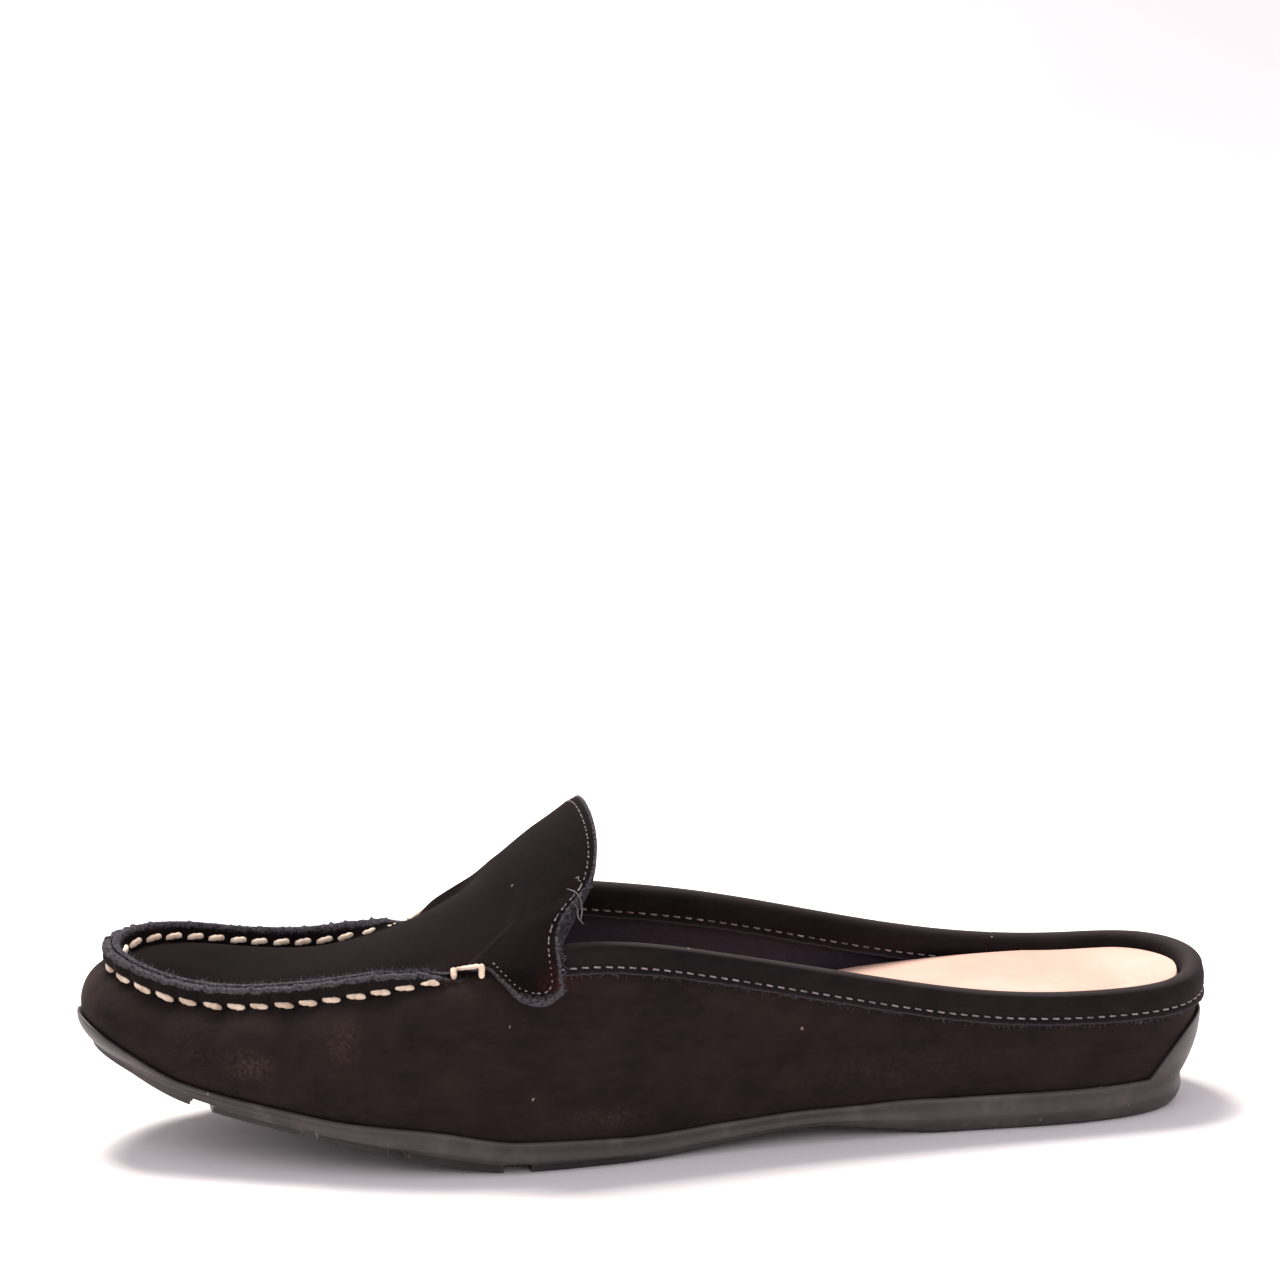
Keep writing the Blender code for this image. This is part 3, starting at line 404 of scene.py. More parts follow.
def last_line():
    """Points, outward directions and wall values all round, from heel back by the outer side."""
    along, across, width = columns(LAST, LAST_COLUMNS, ["along", "across", "width"])
    plan = np.stack([along * FOOT_LENGTH, across * width], 1)
    swell, shoulder, inset, edge, height, ridge, guard = columns(LAST, LAST_COLUMNS, LAST_COLUMNS[4:])
    ball = BALL_WIDTH * np.stack([swell, shoulder, inset], 1)
    values = np.column_stack([plan, ball, edge * height, ridge, guard])
    steps = np.linalg.norm(np.diff(plan, axis=0, append=plan[:1]), axis=1)
    knots = np.concatenate([[0], np.cumsum(steps)[:-1]]) / steps.sum()
    fine = round_spline(knots, values, np.linspace(0, 1, FINE_LINE, endpoint=False))
    tip = int(np.argmax(fine[:, 0]))
    loop = np.vstack([fine, fine[:1]])
    run = np.concatenate([[0], np.cumsum(np.linalg.norm(np.diff(loop[:, :2], axis=0), axis=1))])
    outer = np.linspace(0, run[tip], HALF + 1)[:-1]
    inner = np.linspace(run[tip], run[-1], HALF + 1)[:-1]
    places = np.concatenate([outer, inner])
    line = np.stack([np.interp(places, run, loop[:, c]) for c in range(loop.shape[1])], 1)
    ahead = np.roll(line[:, :2], -1, 0) - np.roll(line[:, :2], 1, 0)
    outward = np.stack([-ahead[:, 1], ahead[:, 0]], 1)
    outward /= np.linalg.norm(outward, axis=1)[:, None]
    return line, outward


LINE, OUTWARD = last_line()
PLAN = LINE[:, :2]
SWELL, SHOULDER, INSET, EDGE = LINE[:, 2], LINE[:, 3], LINE[:, 4], LINE[:, 5]
TACK_X = TACK_ALONG * FOOT_LENGTH
RIDGE = SEAM_RIDGE * np.clip(LINE[:, 6], 0, 1)
RIDGE = RIDGE * np.clip((PLAN[:, 0] - TACK_X - WING_TURN) / RIDGE_FADE, 0, 1)
RIDGE_SHARE = RIDGE / SEAM_RIDGE
GUARD = np.maximum(LINE[:, 7], LIP_HEIGHT)
print("last:", len(PLAN), "places round the feather line")

# %% [markdown]
# The wall of a moccasin rises from the sole, swells out over the ball and the toes, and turns in
# at the top, where the seam or the opening is. A single cubic arc between four control points
# draws that profile at every place round the shoe, so the whole wall is one formula.

# %% Sole heights and the profile of the wall
WALL_ROWS = 61              # points up the wall where it is read, not drawn


def under(x):
    """Height of the sole's underside at x."""
    xs, ys = columns(SOLE, SOLE_COLUMNS, ["along", "under"])
    return smooth(xs * FOOT_LENGTH, ys, x)


def seat(x):
    """Height of the sole's top: underside + thickness."""
    xs, ys = columns(SOLE, SOLE_COLUMNS, ["along", "thickness"])
    return under(x) + smooth(xs * FOOT_LENGTH, ys, x)


FEATHER = seat(PLAN[:, 0])
behind_tack = np.clip((TACK_X - PLAN[:, 0]) / (WING_TURN * EDGE_BLEND), 0, 1)
SEAM_LINE = EDGE - behind_tack * (BINDING_WALL + GAP)
TOP_OUT = INSET
TOP_HIGH = SEAM_LINE - TACK_DIP * np.exp(-((PLAN[:, 0] - TACK_X) / (WING_TURN * DIP_WIDTH)) ** 2)


def wall(rows):
    """Outside of the upper: offset and height = cubic arc (1-t)^3 a + 3t(1-t)^2 b + 3t^2(1-t) c
    + t^3 d from feather line a to top edge d; with the normal, the arc's tangent turned."""
    t = np.linspace(0, 1, rows)[:, None]
    blend = [(1 - t) ** 3, 3 * t * (1 - t) ** 2, 3 * t ** 2 * (1 - t), t ** 3]
    rise = TOP_HIGH - FEATHER - GAP
    outs = [0 * SWELL, SWELL * SWELL_REACH, SHOULDER, TOP_OUT]
    highs = [FEATHER + GAP, FEATHER + rise * SWELL_AT, FEATHER + rise * SHOULDER_AT, TOP_HIGH]
    out = sum(b * c for b, c in zip(blend, outs))
    high = sum(b * c for b, c in zip(blend, highs))
    d_out, d_high = np.gradient(out, axis=0), np.gradient(high, axis=0)
    size = np.hypot(d_out, d_high)
    return out, high, d_high / size, -d_out / size


def read_columns(keys, values, at):
    """Values read against rising keys at heights `at`, each place round the shoe by itself:
    the key below and the key above are found by counting, and the value lies between."""
    at = np.atleast_2d(at)
    low = np.clip((keys[:, None] < at[None]).sum(0) - 1, 0, len(keys) - 2)
    k0, k1 = np.take_along_axis(keys, low, 0), np.take_along_axis(keys, low + 1, 0)
    share = np.clip((at - k0) / np.maximum(k1 - k0, 1e-9), 0, 1)
    v0, v1 = np.take_along_axis(values, low, 0), np.take_along_axis(values, low + 1, 0)
    return v0 + (v1 - v0) * share


WALL_OUT, WALL_HIGH, WALL_NO, WALL_NH = wall(WALL_ROWS)
WALL_DOWN = np.zeros_like(WALL_OUT)
WALL_DOWN[1:] = np.cumsum(np.hypot(np.diff(WALL_OUT[::-1], axis=0), np.diff(WALL_HIGH[::-1], axis=0)), 0)


def wall_offset(height, gap):
    """Offset of the upper's face at a height, moved out along its normal by gap."""
    return read_columns(WALL_HIGH + WALL_NH * gap, WALL_OUT + WALL_NO * gap, height)


def wall_at_depth(depth, gap):
    """Offset and height of points a length down from the top edge along the wall, moved out."""
    depth = np.broadcast_to(depth, np.broadcast_shapes(np.shape(depth), (1, AROUND)))
    face = [read_columns(WALL_DOWN, a[::-1], depth) for a in (WALL_OUT, WALL_HIGH, WALL_NO, WALL_NH)]
    return face[0] + face[2] * gap, face[1] + face[3] * gap


print("wall: highest", round(float(TOP_HIGH.max()) * 1000, 1), "mm")

# %% [markdown]
# The construction model has its origin at the middle of the shoe's box, while the table starts
# at the heel. The upper's own box in the frame says how far to slide everything.

# %% Slide from the last's frame to the model's
top_ring = np.concatenate([PLAN + OUTWARD * WALL_OUT[r][:, None] for r in range(0, WALL_ROWS, 4)])
SHIFT = np.array([
    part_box("upper")[0][0] - top_ring[:, 0].min(),
    (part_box("upper")[0][1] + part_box("upper")[1][1] - top_ring[:, 1].min() - top_ring[:, 1].max()) / 2,
])


def place(offset, height):
    """World points (rows, places, 3) at offsets outwards from the feather line and heights."""
    offset = np.atleast_2d(offset)
    xy = PLAN + SHIFT + OUTWARD * offset[..., None]
    return np.dstack([xy, np.broadcast_to(height, offset.shape)])


def along(path):
    """Running length along a path of points: the sum of its steps."""
    return np.concatenate([[0], np.cumsum(np.linalg.norm(np.diff(path, axis=0), axis=1))])


def noise_line(count, waves, seed):
    """Smooth wander between -1 and 1 along a closed line: a sum of sines of random phase."""
    at = np.linspace(0, 2 * np.pi, count, endpoint=False)
    phases = np.random.default_rng(seed).uniform(0, 2 * np.pi, len(waves))
    return sum(np.sin(at * w + p) for w, p in zip(waves, phases)) / len(waves)


# %% [markdown]
# The upper is one piece of leather wrapped up round the foot. Its top edge is pinched against
# the apron and the two are sewn through, which raises a ridge all round the toes. Each stitch
# pulls the leather in and a small pillow stands up between two stitches. A few longer troughs
# run down the side where the gathering was uneven, so they are placed one by one.

# %% Seam values and the reliefs of the upper
STITCH_PITCH = 0.0055       # hand stitches of the seam, hole to hole
STITCH_LENGTH = 0.0047      # thread seen between two holes
STITCH_WIDTH, STITCH_THICKNESS = 0.00155, 0.0011
PILLOW = 0.00050            # leather standing up between two stitches
PILLOW_REACH = 0.0042       # how far down the side a pillow fades
PILLOW_START = 0.0012       # below the edge, where it is full
WANDER = 0.00034            # unevenness of the raw edge
VALLEY = 0.0005             # how deep the thread lies in the leather

# Troughs down the side: place as a share of FOOT_LENGTH from the heel, side (+1 outer, -1
# inner), depth, width along the shoe and reach down from the seam, in metres
TROUGHS = [
    (0.955, 1, 0.00095, 0.0036, 0.013),
    (0.905, 1, 0.00075, 0.0032, 0.011),
    (0.845, 1, 0.00090, 0.0038, 0.014),
    (0.765, 1, 0.00075, 0.0044, 0.016),
    (0.712, 1, 0.00080, 0.0042, 0.015),
    (0.930, -1, 0.00045, 0.0038, 0.012),
    (0.860, -1, 0.00055, 0.0040, 0.014),
    (0.780, -1, 0.00045, 0.0046, 0.015),
]
# Broad waves of the side: share of FOOT_LENGTH, side, height, width along, depth below the edge
WAVES = [
    (0.60, 1, -0.00055, 0.020, 0.020), (0.52, 1, 0.00045, 0.018, 0.024),
    (0.33, 1, -0.00050, 0.026, 0.014), (0.20, 1, 0.00035, 0.024, 0.012),
    (0.58, -1, -0.00050, 0.022, 0.018), (0.36, -1, -0.00045, 0.026, 0.014),
    (0.88, 1, 0.00040, 0.012, 0.021), (0.82, 1, -0.00035, 0.010, 0.023),
]
edge_path = place(TOP_OUT, TOP_HIGH)[0]
EDGE_RUN = along(edge_path)
tack_outer = int(np.argmax(PLAN[:HALF, 0] > TACK_X))
tack_inner = AROUND - 1 - int(np.argmax(PLAN[::-1, 0] > TACK_X))
SEAM_START, SEAM_END = EDGE_RUN[tack_outer], EDGE_RUN[tack_inner]
STITCHES = int((SEAM_END - SEAM_START) / STITCH_PITCH)
PITCH = (SEAM_END - SEAM_START) / STITCHES
SEAM_PHASE = (EDGE_RUN - SEAM_START) / PITCH
SIDE = np.sign(PLAN[:, 1] - np.interp(PLAN[:, 0], [0, FOOT_LENGTH], [0, -0.10 * BALL]))


def side_relief(depth):
    """Height added along the wall's normal at lengths `depth` below the top edge:
    pillows |sin(pi s / pitch)| that fade as exp(-depth / reach), minus troughs and plus waves,
    each a bell along the shoe times a bell down the side."""
    pillow = (np.abs(np.sin(np.pi * SEAM_PHASE)) - 0.6) * np.clip(RIDGE_SHARE * 2, 0, 1)
    relief = PILLOW * pillow * np.exp(-depth / PILLOW_REACH) * np.clip(depth / PILLOW_START, 0.35, 1)
    for share, side, deep, width, reach in TROUGHS:
        bell = np.exp(-((PLAN[:, 0] - share * FOOT_LENGTH) / width) ** 2) * (SIDE == side)
        relief = relief - deep * bell * np.exp(-((depth - reach * 0.3) / reach) ** 2)
    for share, side, tall, width, down in WAVES:
        bell = np.exp(-((PLAN[:, 0] - share * FOOT_LENGTH) / width) ** 2) * (SIDE == side)
        relief = relief + tall * bell * np.exp(-((depth - down) / (down * 0.6)) ** 2)
    return relief


print("seam:", STITCHES, "stitches of", round(PITCH * 1000, 2), "mm")

# %% [markdown]
# The wall is a stack of rings: up the outside, over the raw edge of the ridge, down the lining
# and closed underneath. The top of each side carries masks as numbers on its points. They tell
# the material where raw edge, lining and sewn valley are, and they follow the leather.

# %% Upper
SIDE_ROWS, RIDGE_ROWS, LINING_ROWS = 46, 9, 22
RAW_BAND = 0.0012           # raw edge seen from the side
RIDGE_BULGE = 0.0003        # outer face of the ridge, between valley and raw edge
CROWN_BULGE = 0.00022       # doming of the raw edge
VALLEY_SPAN = 0.0016        # how far the shade of the valley reaches


def ridge_bend(share):
    """Shape of the ridge's outer face from valley 0 to raw edge 1: a soft S, in at the valley
    where the thread lies, out where the two leathers spread."""
    return -VALLEY * np.exp(-((share - 0.10) / 0.16) ** 2) + RIDGE_BULGE * np.sin(np.pi * share)


def upper_rings():
    """Rings of points and of masks (raw, lining, valley), from the feather line up and over."""
    out, high, n_out, n_high = wall(SIDE_ROWS)
    depth = np.zeros_like(out)
    depth[:-1] = np.cumsum(np.hypot(np.diff(out[::-1], axis=0), np.diff(high[::-1], axis=0)), 0)[::-1]
    foot_fade = np.clip(np.arange(SIDE_ROWS)[:, None] / 6 - 0.3, 0, 1)
    relief = side_relief(depth) * foot_fade
    out, high = out + n_out * relief, high + n_high * relief
    side = place(out, high)
    lean = RIDGE_LEAN * RIDGE_SHARE
    wander = WANDER * noise_line(AROUND, (97, 151, 211, 263, 307), 3) * np.clip(RIDGE_SHARE * 2, 0.15, 1)
    share = np.linspace(0, 1, RIDGE_ROWS + 1)[1:, None]
    pillow = PILLOW * (np.abs(np.sin(np.pi * SEAM_PHASE)) - 0.5) * np.sin(np.pi * share) * RIDGE_SHARE
    rise = np.maximum(RIDGE - WALL * 0.1, 0.0)
    bend = (ridge_bend(share) + pillow * 2) * np.clip(RIDGE_SHARE * 1.5, 0, 1)
    face_out = TOP_OUT + lean * share + bend + wander * share
    face_high = TOP_HIGH + rise * share + wander * 1.6 * share ** 4
    peak = face_high[-1] + WALL * 0.1 + GAP / 3
    over = np.linspace(0, 1, 7)[1:-1, None]
    crown_out = face_out[-1] - WALL * over
    crown_high = peak + CROWN_BULGE * np.sin(np.pi * over) - WALL * 0.1 * (1 - over)
    back_share = np.linspace(1, 0, 5)[:, None]
    low_in = TOP_HIGH - WALL * (0.9 * RIDGE_SHARE + 0.25)
    back_high = low_in + (peak - low_in) * back_share
    back_out = TOP_OUT - WALL + lean * np.clip(back_share * 1.3 - 0.3, 0, 1) + wander * back_share
    return side, depth, (face_out, face_high), (crown_out, crown_high), (back_out, back_high)


def build_upper():
    """Stacks all rings, with the lining a wall's thickness inside the outer face."""
    side, depth, face, crown, back = upper_rings()
    out, high, n_out, n_high = wall(LINING_ROWS)
    lining_out = (out - WALL * n_out)[-3::-1]
    lining_high = np.maximum(high - WALL * n_high, FEATHER + GAP)[-3::-1]
    near_top = np.linspace(1, 0, len(lining_out))[:, None] ** 3
    lining_out = lining_out * (1 - near_top) + np.maximum(lining_out, TOP_OUT - WALL) * near_top
    lining_high = np.minimum(lining_high, back[1][-1] - GAP * np.arange(1, len(lining_high) + 1)[:, None])
    points = np.concatenate([side, place(*face), place(*crown), place(*back), place(lining_out, lining_high)])
    rows = [len(side), len(face[0]), len(crown[0]), len(back[0]), len(lining_out)]
    part = np.repeat(np.arange(5), rows)[:, None] + np.zeros(AROUND)
    ridge = np.clip(RIDGE_SHARE * 2.5, 0, 1)
    down = np.concatenate([depth, -np.ones((len(points) - len(depth), AROUND))])
    to_raw = np.clip(1 - (face[1][-1] - face[1]) / RAW_BAND, 0, 1)
    raw = np.concatenate([depth * 0, to_raw * ridge, crown[0] * 0 + ridge, back[0] * 0 + ridge * 0.6,
                          lining_out * 0])
    lining = (part == 4).astype(float)
    lining[part[:, 0] == 3] = 1 - ridge
    down = np.where(down < 0, VALLEY_SPAN / 4, down)
    # Valley mask: where the material paints shade beside the seam.
    valley = np.exp(-(down / VALLEY_SPAN) ** 2) * ridge * (part <= 1)
    cells = quads(len(points), AROUND, close_rows=True, close_cols=True)[:, ::-1]
    masks = {"raw": raw, "lining": lining, "valley": valley, "worn": np.zeros_like(raw)}
    return new_piece("upper_leather", points, [cells], masks)


upper = build_upper()
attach(upper, "root")
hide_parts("upper")
print("upper:", len(upper.data.vertices), "points")

# %% [markdown]
# Apron and tongue are one piece of leather too. From the toe to the tack it is sewn inside the
# raised seam, with its own edge standing up against the upper's. At the tack it crosses over the
# edge, and behind it a wing hangs down outside the collar on each side. Between the two edges it
# arches up into the tongue. Each row across the shoe is a closed ring: the edge section on the
# outer side, the arch, the edge section on the inner side, and back underneath.

# %% Sections of the apron's edge
EDGE_FINE = 4               # extra points between two corners of an edge section


def ease(share):
    """Smooth step from 0 to 1: 3 s^2 - 2 s^3 of the share kept within 0 and 1."""
    share = np.clip(share, 0, 1)
    return share * share * (3 - 2 * share)


def rounded(section):
    """Closed-in curve through the corners of a section (corners, places, 2): a centripetal-like
    Hermite curve whose tangents are a third of the neighbours' difference."""
    tangent = np.gradient(section, axis=0) * 0.75
    t = np.linspace(0, 1, EDGE_FINE + 1)[:-1, None, None, None]
    p, q, m, n = section[None, :-1], section[None, 1:], tangent[None, :-1], tangent[None, 1:]
    curve = ((1 + 2 * t) * (1 - t) ** 2 * p + t * (1 - t) ** 2 * m
             + t * t * (3 - 2 * t) * q + t * t * (t - 1) * n)
    curve = np.swapaxes(curve, 0, 1).reshape(-1, *section.shape[1:])
    return np.concatenate([curve, section[-1:]])


def apron_edge():
    """Edge sections (corners, places, 2): standing up inside the seam, over the upper's edge at
    the tack, and down outside it as the wing, blended by the distance behind the tack."""
    behind = TACK_X - PLAN[:, 0]
    o, h = TOP_OUT, SEAM_LINE
    lean = RIDGE_LEAN * RIDGE_SHARE
    wall_in = o - WALL - GAP
    ridge = h + RIDGE + GAP
    corner, low = np.array([wall_in, h + GAP]), np.array([wall_in - APRON_WALL * 0.3, h - APRON_WALL])
    upturn = [
        [wall_in - APRON_WALL, h + APRON_WALL * 0.3], [wall_in - APRON_WALL + lean, ridge],
        [wall_in + lean, ridge + GAP / 2], (np.array([wall_in + lean, ridge + GAP / 2]) + corner) / 2,
        corner, corner * 0.67 + low * 0.33, corner * 0.34 + low * 0.66, low,
    ]
    progress = np.clip((behind - WING_TURN) / (TACK_X - WING_ALONG * FOOT_LENGTH - WING_TURN), 0, 1)
    xs, drops = columns(WING, WING_COLUMNS, ["progress", "drop"])
    drop = WING_DROP * smooth(xs, drops, progress)
    clear = GAP + (BINDING_WALL + GAP) * np.minimum(1.0, progress * 2.5)
    lifted = h + clear + APRON_WALL
    inside = np.array([o - WALL, h + clear + GAP])
    corner = np.array([o + clear + APRON_WALL * 0.5, h + clear])
    over = [
        [o - WALL, lifted + APRON_WALL * 0.6], [o + clear * 0.5, lifted + APRON_WALL * 0.3],
        [o + clear + APRON_WALL * 0.6, lifted - APRON_WALL * 0.2],
        [o + clear + APRON_WALL * 0.7, h + clear + APRON_WALL * 0.4],
        corner, corner * 0.67 + inside * 0.33, corner * 0.34 + inside * 0.66, inside,
    ]
    hang = [np.array(wall_at_depth(drop * s, clear + w))[:, 0]
            for s, w in ((0.5, APRON_WALL), (1, APRON_WALL), (1, 0), (0.5, 0))]
    skirt = [
        [o - WALL, lifted + APRON_WALL * 0.6], [o + clear + APRON_WALL * 0.7, lifted - APRON_WALL * 0.6],
        *hang, [o + clear, h + clear * 0.8], inside,
    ]
    forms = [np.array([np.array(p) for p in s]).transpose(0, 2, 1) for s in (upturn, over, skirt)]
    upturn, over, skirt = forms
    to_over = np.clip(behind / WING_TURN + 0.5, 0, 1)[None, :, None]
    to_skirt = np.clip(drop / (APRON_WALL * 2), 0, 1)[None, :, None]
    crossing = upturn * (1 - to_over) + over * to_over
    return crossing * (1 - to_skirt) + skirt * to_skirt


apron_section = rounded(apron_edge())
print("apron edge:", apron_section.shape[0], "points a section")

# %% [markdown]
# The arch itself is a half sine between the two edges. Near the tongue the columns are spread by
# a cosine, so they crowd where the leather turns down to the wings. On top of that come the
# forms that make it leather: a soft trough each side of the instep, where it bends, and a slight
# curl of the free rear edge.

# %% Apron and tongue
ACROSS_FINE = 96
SHOULDER_SPAN, SHOULDER_ROUNDS = 11, 70    # points and rounds that soften the wing's shoulder
EDGE_CURL = 0.0006          # rear edge of the tongue turning up
# Soft marks of the arch: progress from toe tip to tongue, place across 0..1 from the outer edge,
# height, width in progress and width across
APRON_FORMS = [
    (0.58, 0.86, -0.00110, 0.10, 0.055), (0.62, 0.15, -0.00070, 0.09, 0.060),
    (0.30, 0.50, -0.00050, 0.10, 0.200), (0.45, 0.30, 0.00040, 0.08, 0.120),
    (0.80, 0.30, -0.00045, 0.07, 0.100), (0.86, 0.66, 0.00040, 0.06, 0.120),
    (0.15, 0.40, 0.00035, 0.06, 0.160), (0.93, 0.12, -0.00060, 0.05, 0.050),
]


def relax_shoulders(ring, rim, share):
    """Rounds the shoulder between wing and arch: points near it move half way to the middle of
    their neighbours, again and again, the more the nearer they are to the tongue's end."""
    number = np.arange(len(ring))
    near = sum(np.clip(1 - np.abs(number - (at + shift)) / SHOULDER_SPAN, 0, 1)
               for at, shift in ((rim - 1, 3), (rim + ACROSS_FINE - 1, -3)))
    weight = (0.5 * near[:, None] * ease((share - 0.55) / 0.2))[..., None]
    for _ in range(SHOULDER_ROUNDS):
        middle = (np.roll(ring, 1, 0) + np.roll(ring, -1, 0)) / 2
        ring = ring + weight * (middle - ring)
    return ring


def build_apron():
    """Rings from toe tip to rear edge. Top = outer edge (1-m) + inner edge m + crown sin(pi v),
    with m going from v to (1 - cos(pi v)) / 2 along the shoe; underside a wall below it."""
    outer = np.arange(HALF, 0, -1)
    outer = outer[PLAN[outer, 0] >= WING_ALONG * FOOT_LENGTH]
    inner = (2 * HALF - outer) % AROUND
    edge = [place(apron_section[..., 0], apron_section[..., 1])[:, i] for i in (outer, inner)]
    a, b = edge[0][0], edge[1][0]
    share = np.linspace(0, 1, len(outer))
    prog, lie, crown = columns(SPINE, SPINE_COLUMNS, ["progress", "along", "crown"])
    spine_x = smooth(prog, lie, share) * FOOT_LENGTH + SHIFT[0]
    lift = smooth(prog, crown, share) * (INSTEP_HEIGHT - THROAT_HEIGHT)
    v = np.linspace(0, 1, ACROSS_FINE + 1)[1:-1, None]
    arch = np.sin(np.pi * v)
    m = (v * (1 - share) + (1 - np.cos(np.pi * v)) / 2 * share)[..., None]
    top = a * (1 - m) + b * m
    sweep = 1 - (1 - arch) ** TONGUE_SWEEP
    late = np.clip((share - SET_IN_FROM) / (1 - SET_IN_FROM), 0, 1)
    sweep = sweep * (1 - late + late * ease(np.minimum(v, 1 - v) / TONGUE_SET_IN))
    top[..., 0] += (spine_x - (a[:, 0] + b[:, 0]) / 2) * sweep
    top[..., 2] += lift * arch
    form = sum(tall * np.exp(-((share - at) / wide) ** 2 - ((v - over) / broad) ** 2)
               for at, over, tall, wide, broad in APRON_FORMS)
    form = form + EDGE_CURL * ease((share - 0.93) / 0.07) * arch ** 0.5
    top[..., 2] += form * ease(share / 0.05)
    thick = APRON_WALL * (1.1 + RIM_THICKEN * share * (1 - arch))
    low = np.dstack([top[..., 0], top[..., 1] * (1 - TONGUE_TAPER * share) + TONGUE_TAPER * share * SHIFT[1],
                     top[..., 2] - thick])
    ring = np.concatenate([edge[0][::-1], top, edge[1], low[::-1]])
    rim = len(edge[0])
    ring = relax_shoulders(ring, rim, share)
    rows = [rim, len(top), rim, len(low)]
    part = np.repeat(np.arange(4), rows)[:, None] + np.zeros(len(outer))
    cells = quads(len(ring), len(outer), close_rows=True)
    first = np.arange(len(ring)) * len(outer)
    caps = [first[None, :], (first + len(outer) - 1)[None, ::-1]]
    return ring, part, [cells, *caps], outer


apron_ring, part, cells, outer_rows = build_apron()
rim_count = len(apron_section)
along_rim = np.concatenate([np.arange(rim_count)[::-1], np.full(ACROSS_FINE - 1, 0),
                            np.arange(rim_count), np.full(ACROSS_FINE - 1, rim_count)])
standing = np.clip(1 - np.abs(along_rim - 1.9 * EDGE_FINE) / (1.6 * EDGE_FINE), 0, 1)[:, None]
hanging = np.clip(1 - np.abs(along_rim - 3.6 * EDGE_FINE) / (1.3 * EDGE_FINE), 0, 1)[:, None]
before = PLAN[outer_rows, 0] > TACK_X
raw = np.clip(np.where(before, standing, hanging) * 1.6, 0, 1) * (part % 2 == 0)
raw[:, -1] = 1
raw[:, -2] = np.maximum(raw[:, -2], 0.45)
masks = {
    "raw": raw,
    "lining": (part == 3).astype(float),
    "valley": np.zeros_like(raw),
    "worn": np.zeros_like(raw),
}
apron = new_piece("apron_leather", apron_ring, cells, masks)
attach(apron, "root")
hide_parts("apron_tongue")
print("apron:", apron_ring.shape[1], "rows of", apron_ring.shape[0], "points")

# %% [markdown]
# The collar is bound: a strip of suede is folded over the raw topline and one machine seam holds
# both legs. The seam pulls a shallow channel into the strip, the crown above it stays round, and
# the cut lower edge stands off a little. The strip is one section carried round the collar, from
# under one wing of the tongue, past the heel, to under the other.

# %% Collar binding
SEAM_DROP = 0.0042          # machine seam below the topline, outside
SEAM_INNER_DROP = 0.0044    # and inside
CHANNEL = 0.00032           # how far the seam pulls the strip in
EDGE_LIFT = 0.00022         # cut edge standing off the wall
BINDING_PITCH = 0.0027      # machine stitches of the binding
BINDING_WANDER = 0.00018    # unevenness of the cut edge
LEG_BULGE = 0.00016         # roundness of a leg above its seam
LEG_START = 0.4 * BINDING_WALL      # where a leg takes over from the crown
LEG_ROWS, CROWN_ROWS = 14, 9


def binding_leg(drop, seam, seed):
    """One leg of the strip: its depths down to the drop, and how far it stands off there, less a
    bell at the seam, plus a bulge above it and a lift at the cut edge."""
    deep = LEG_START + (drop - LEG_START) * np.linspace(0, 1, LEG_ROWS)[:, None]
    wander = BINDING_WANDER * noise_line(AROUND, (41, 83, 127, 171, 223), seed)
    deep = deep + wander * (deep / drop) ** 3
    pulse = 0.65 + 0.35 * np.cos(2 * np.pi * EDGE_RUN / BINDING_PITCH)
    shape = -CHANNEL * pulse * np.exp(-((deep - seam) / 0.00055) ** 2)
    shape = shape + LEG_BULGE * np.exp(-((deep - seam * 0.45) / 0.0012) ** 2)
    shape = shape + EDGE_LIFT * ease((deep - drop + 0.0009) / 0.0009)
    return deep, shape


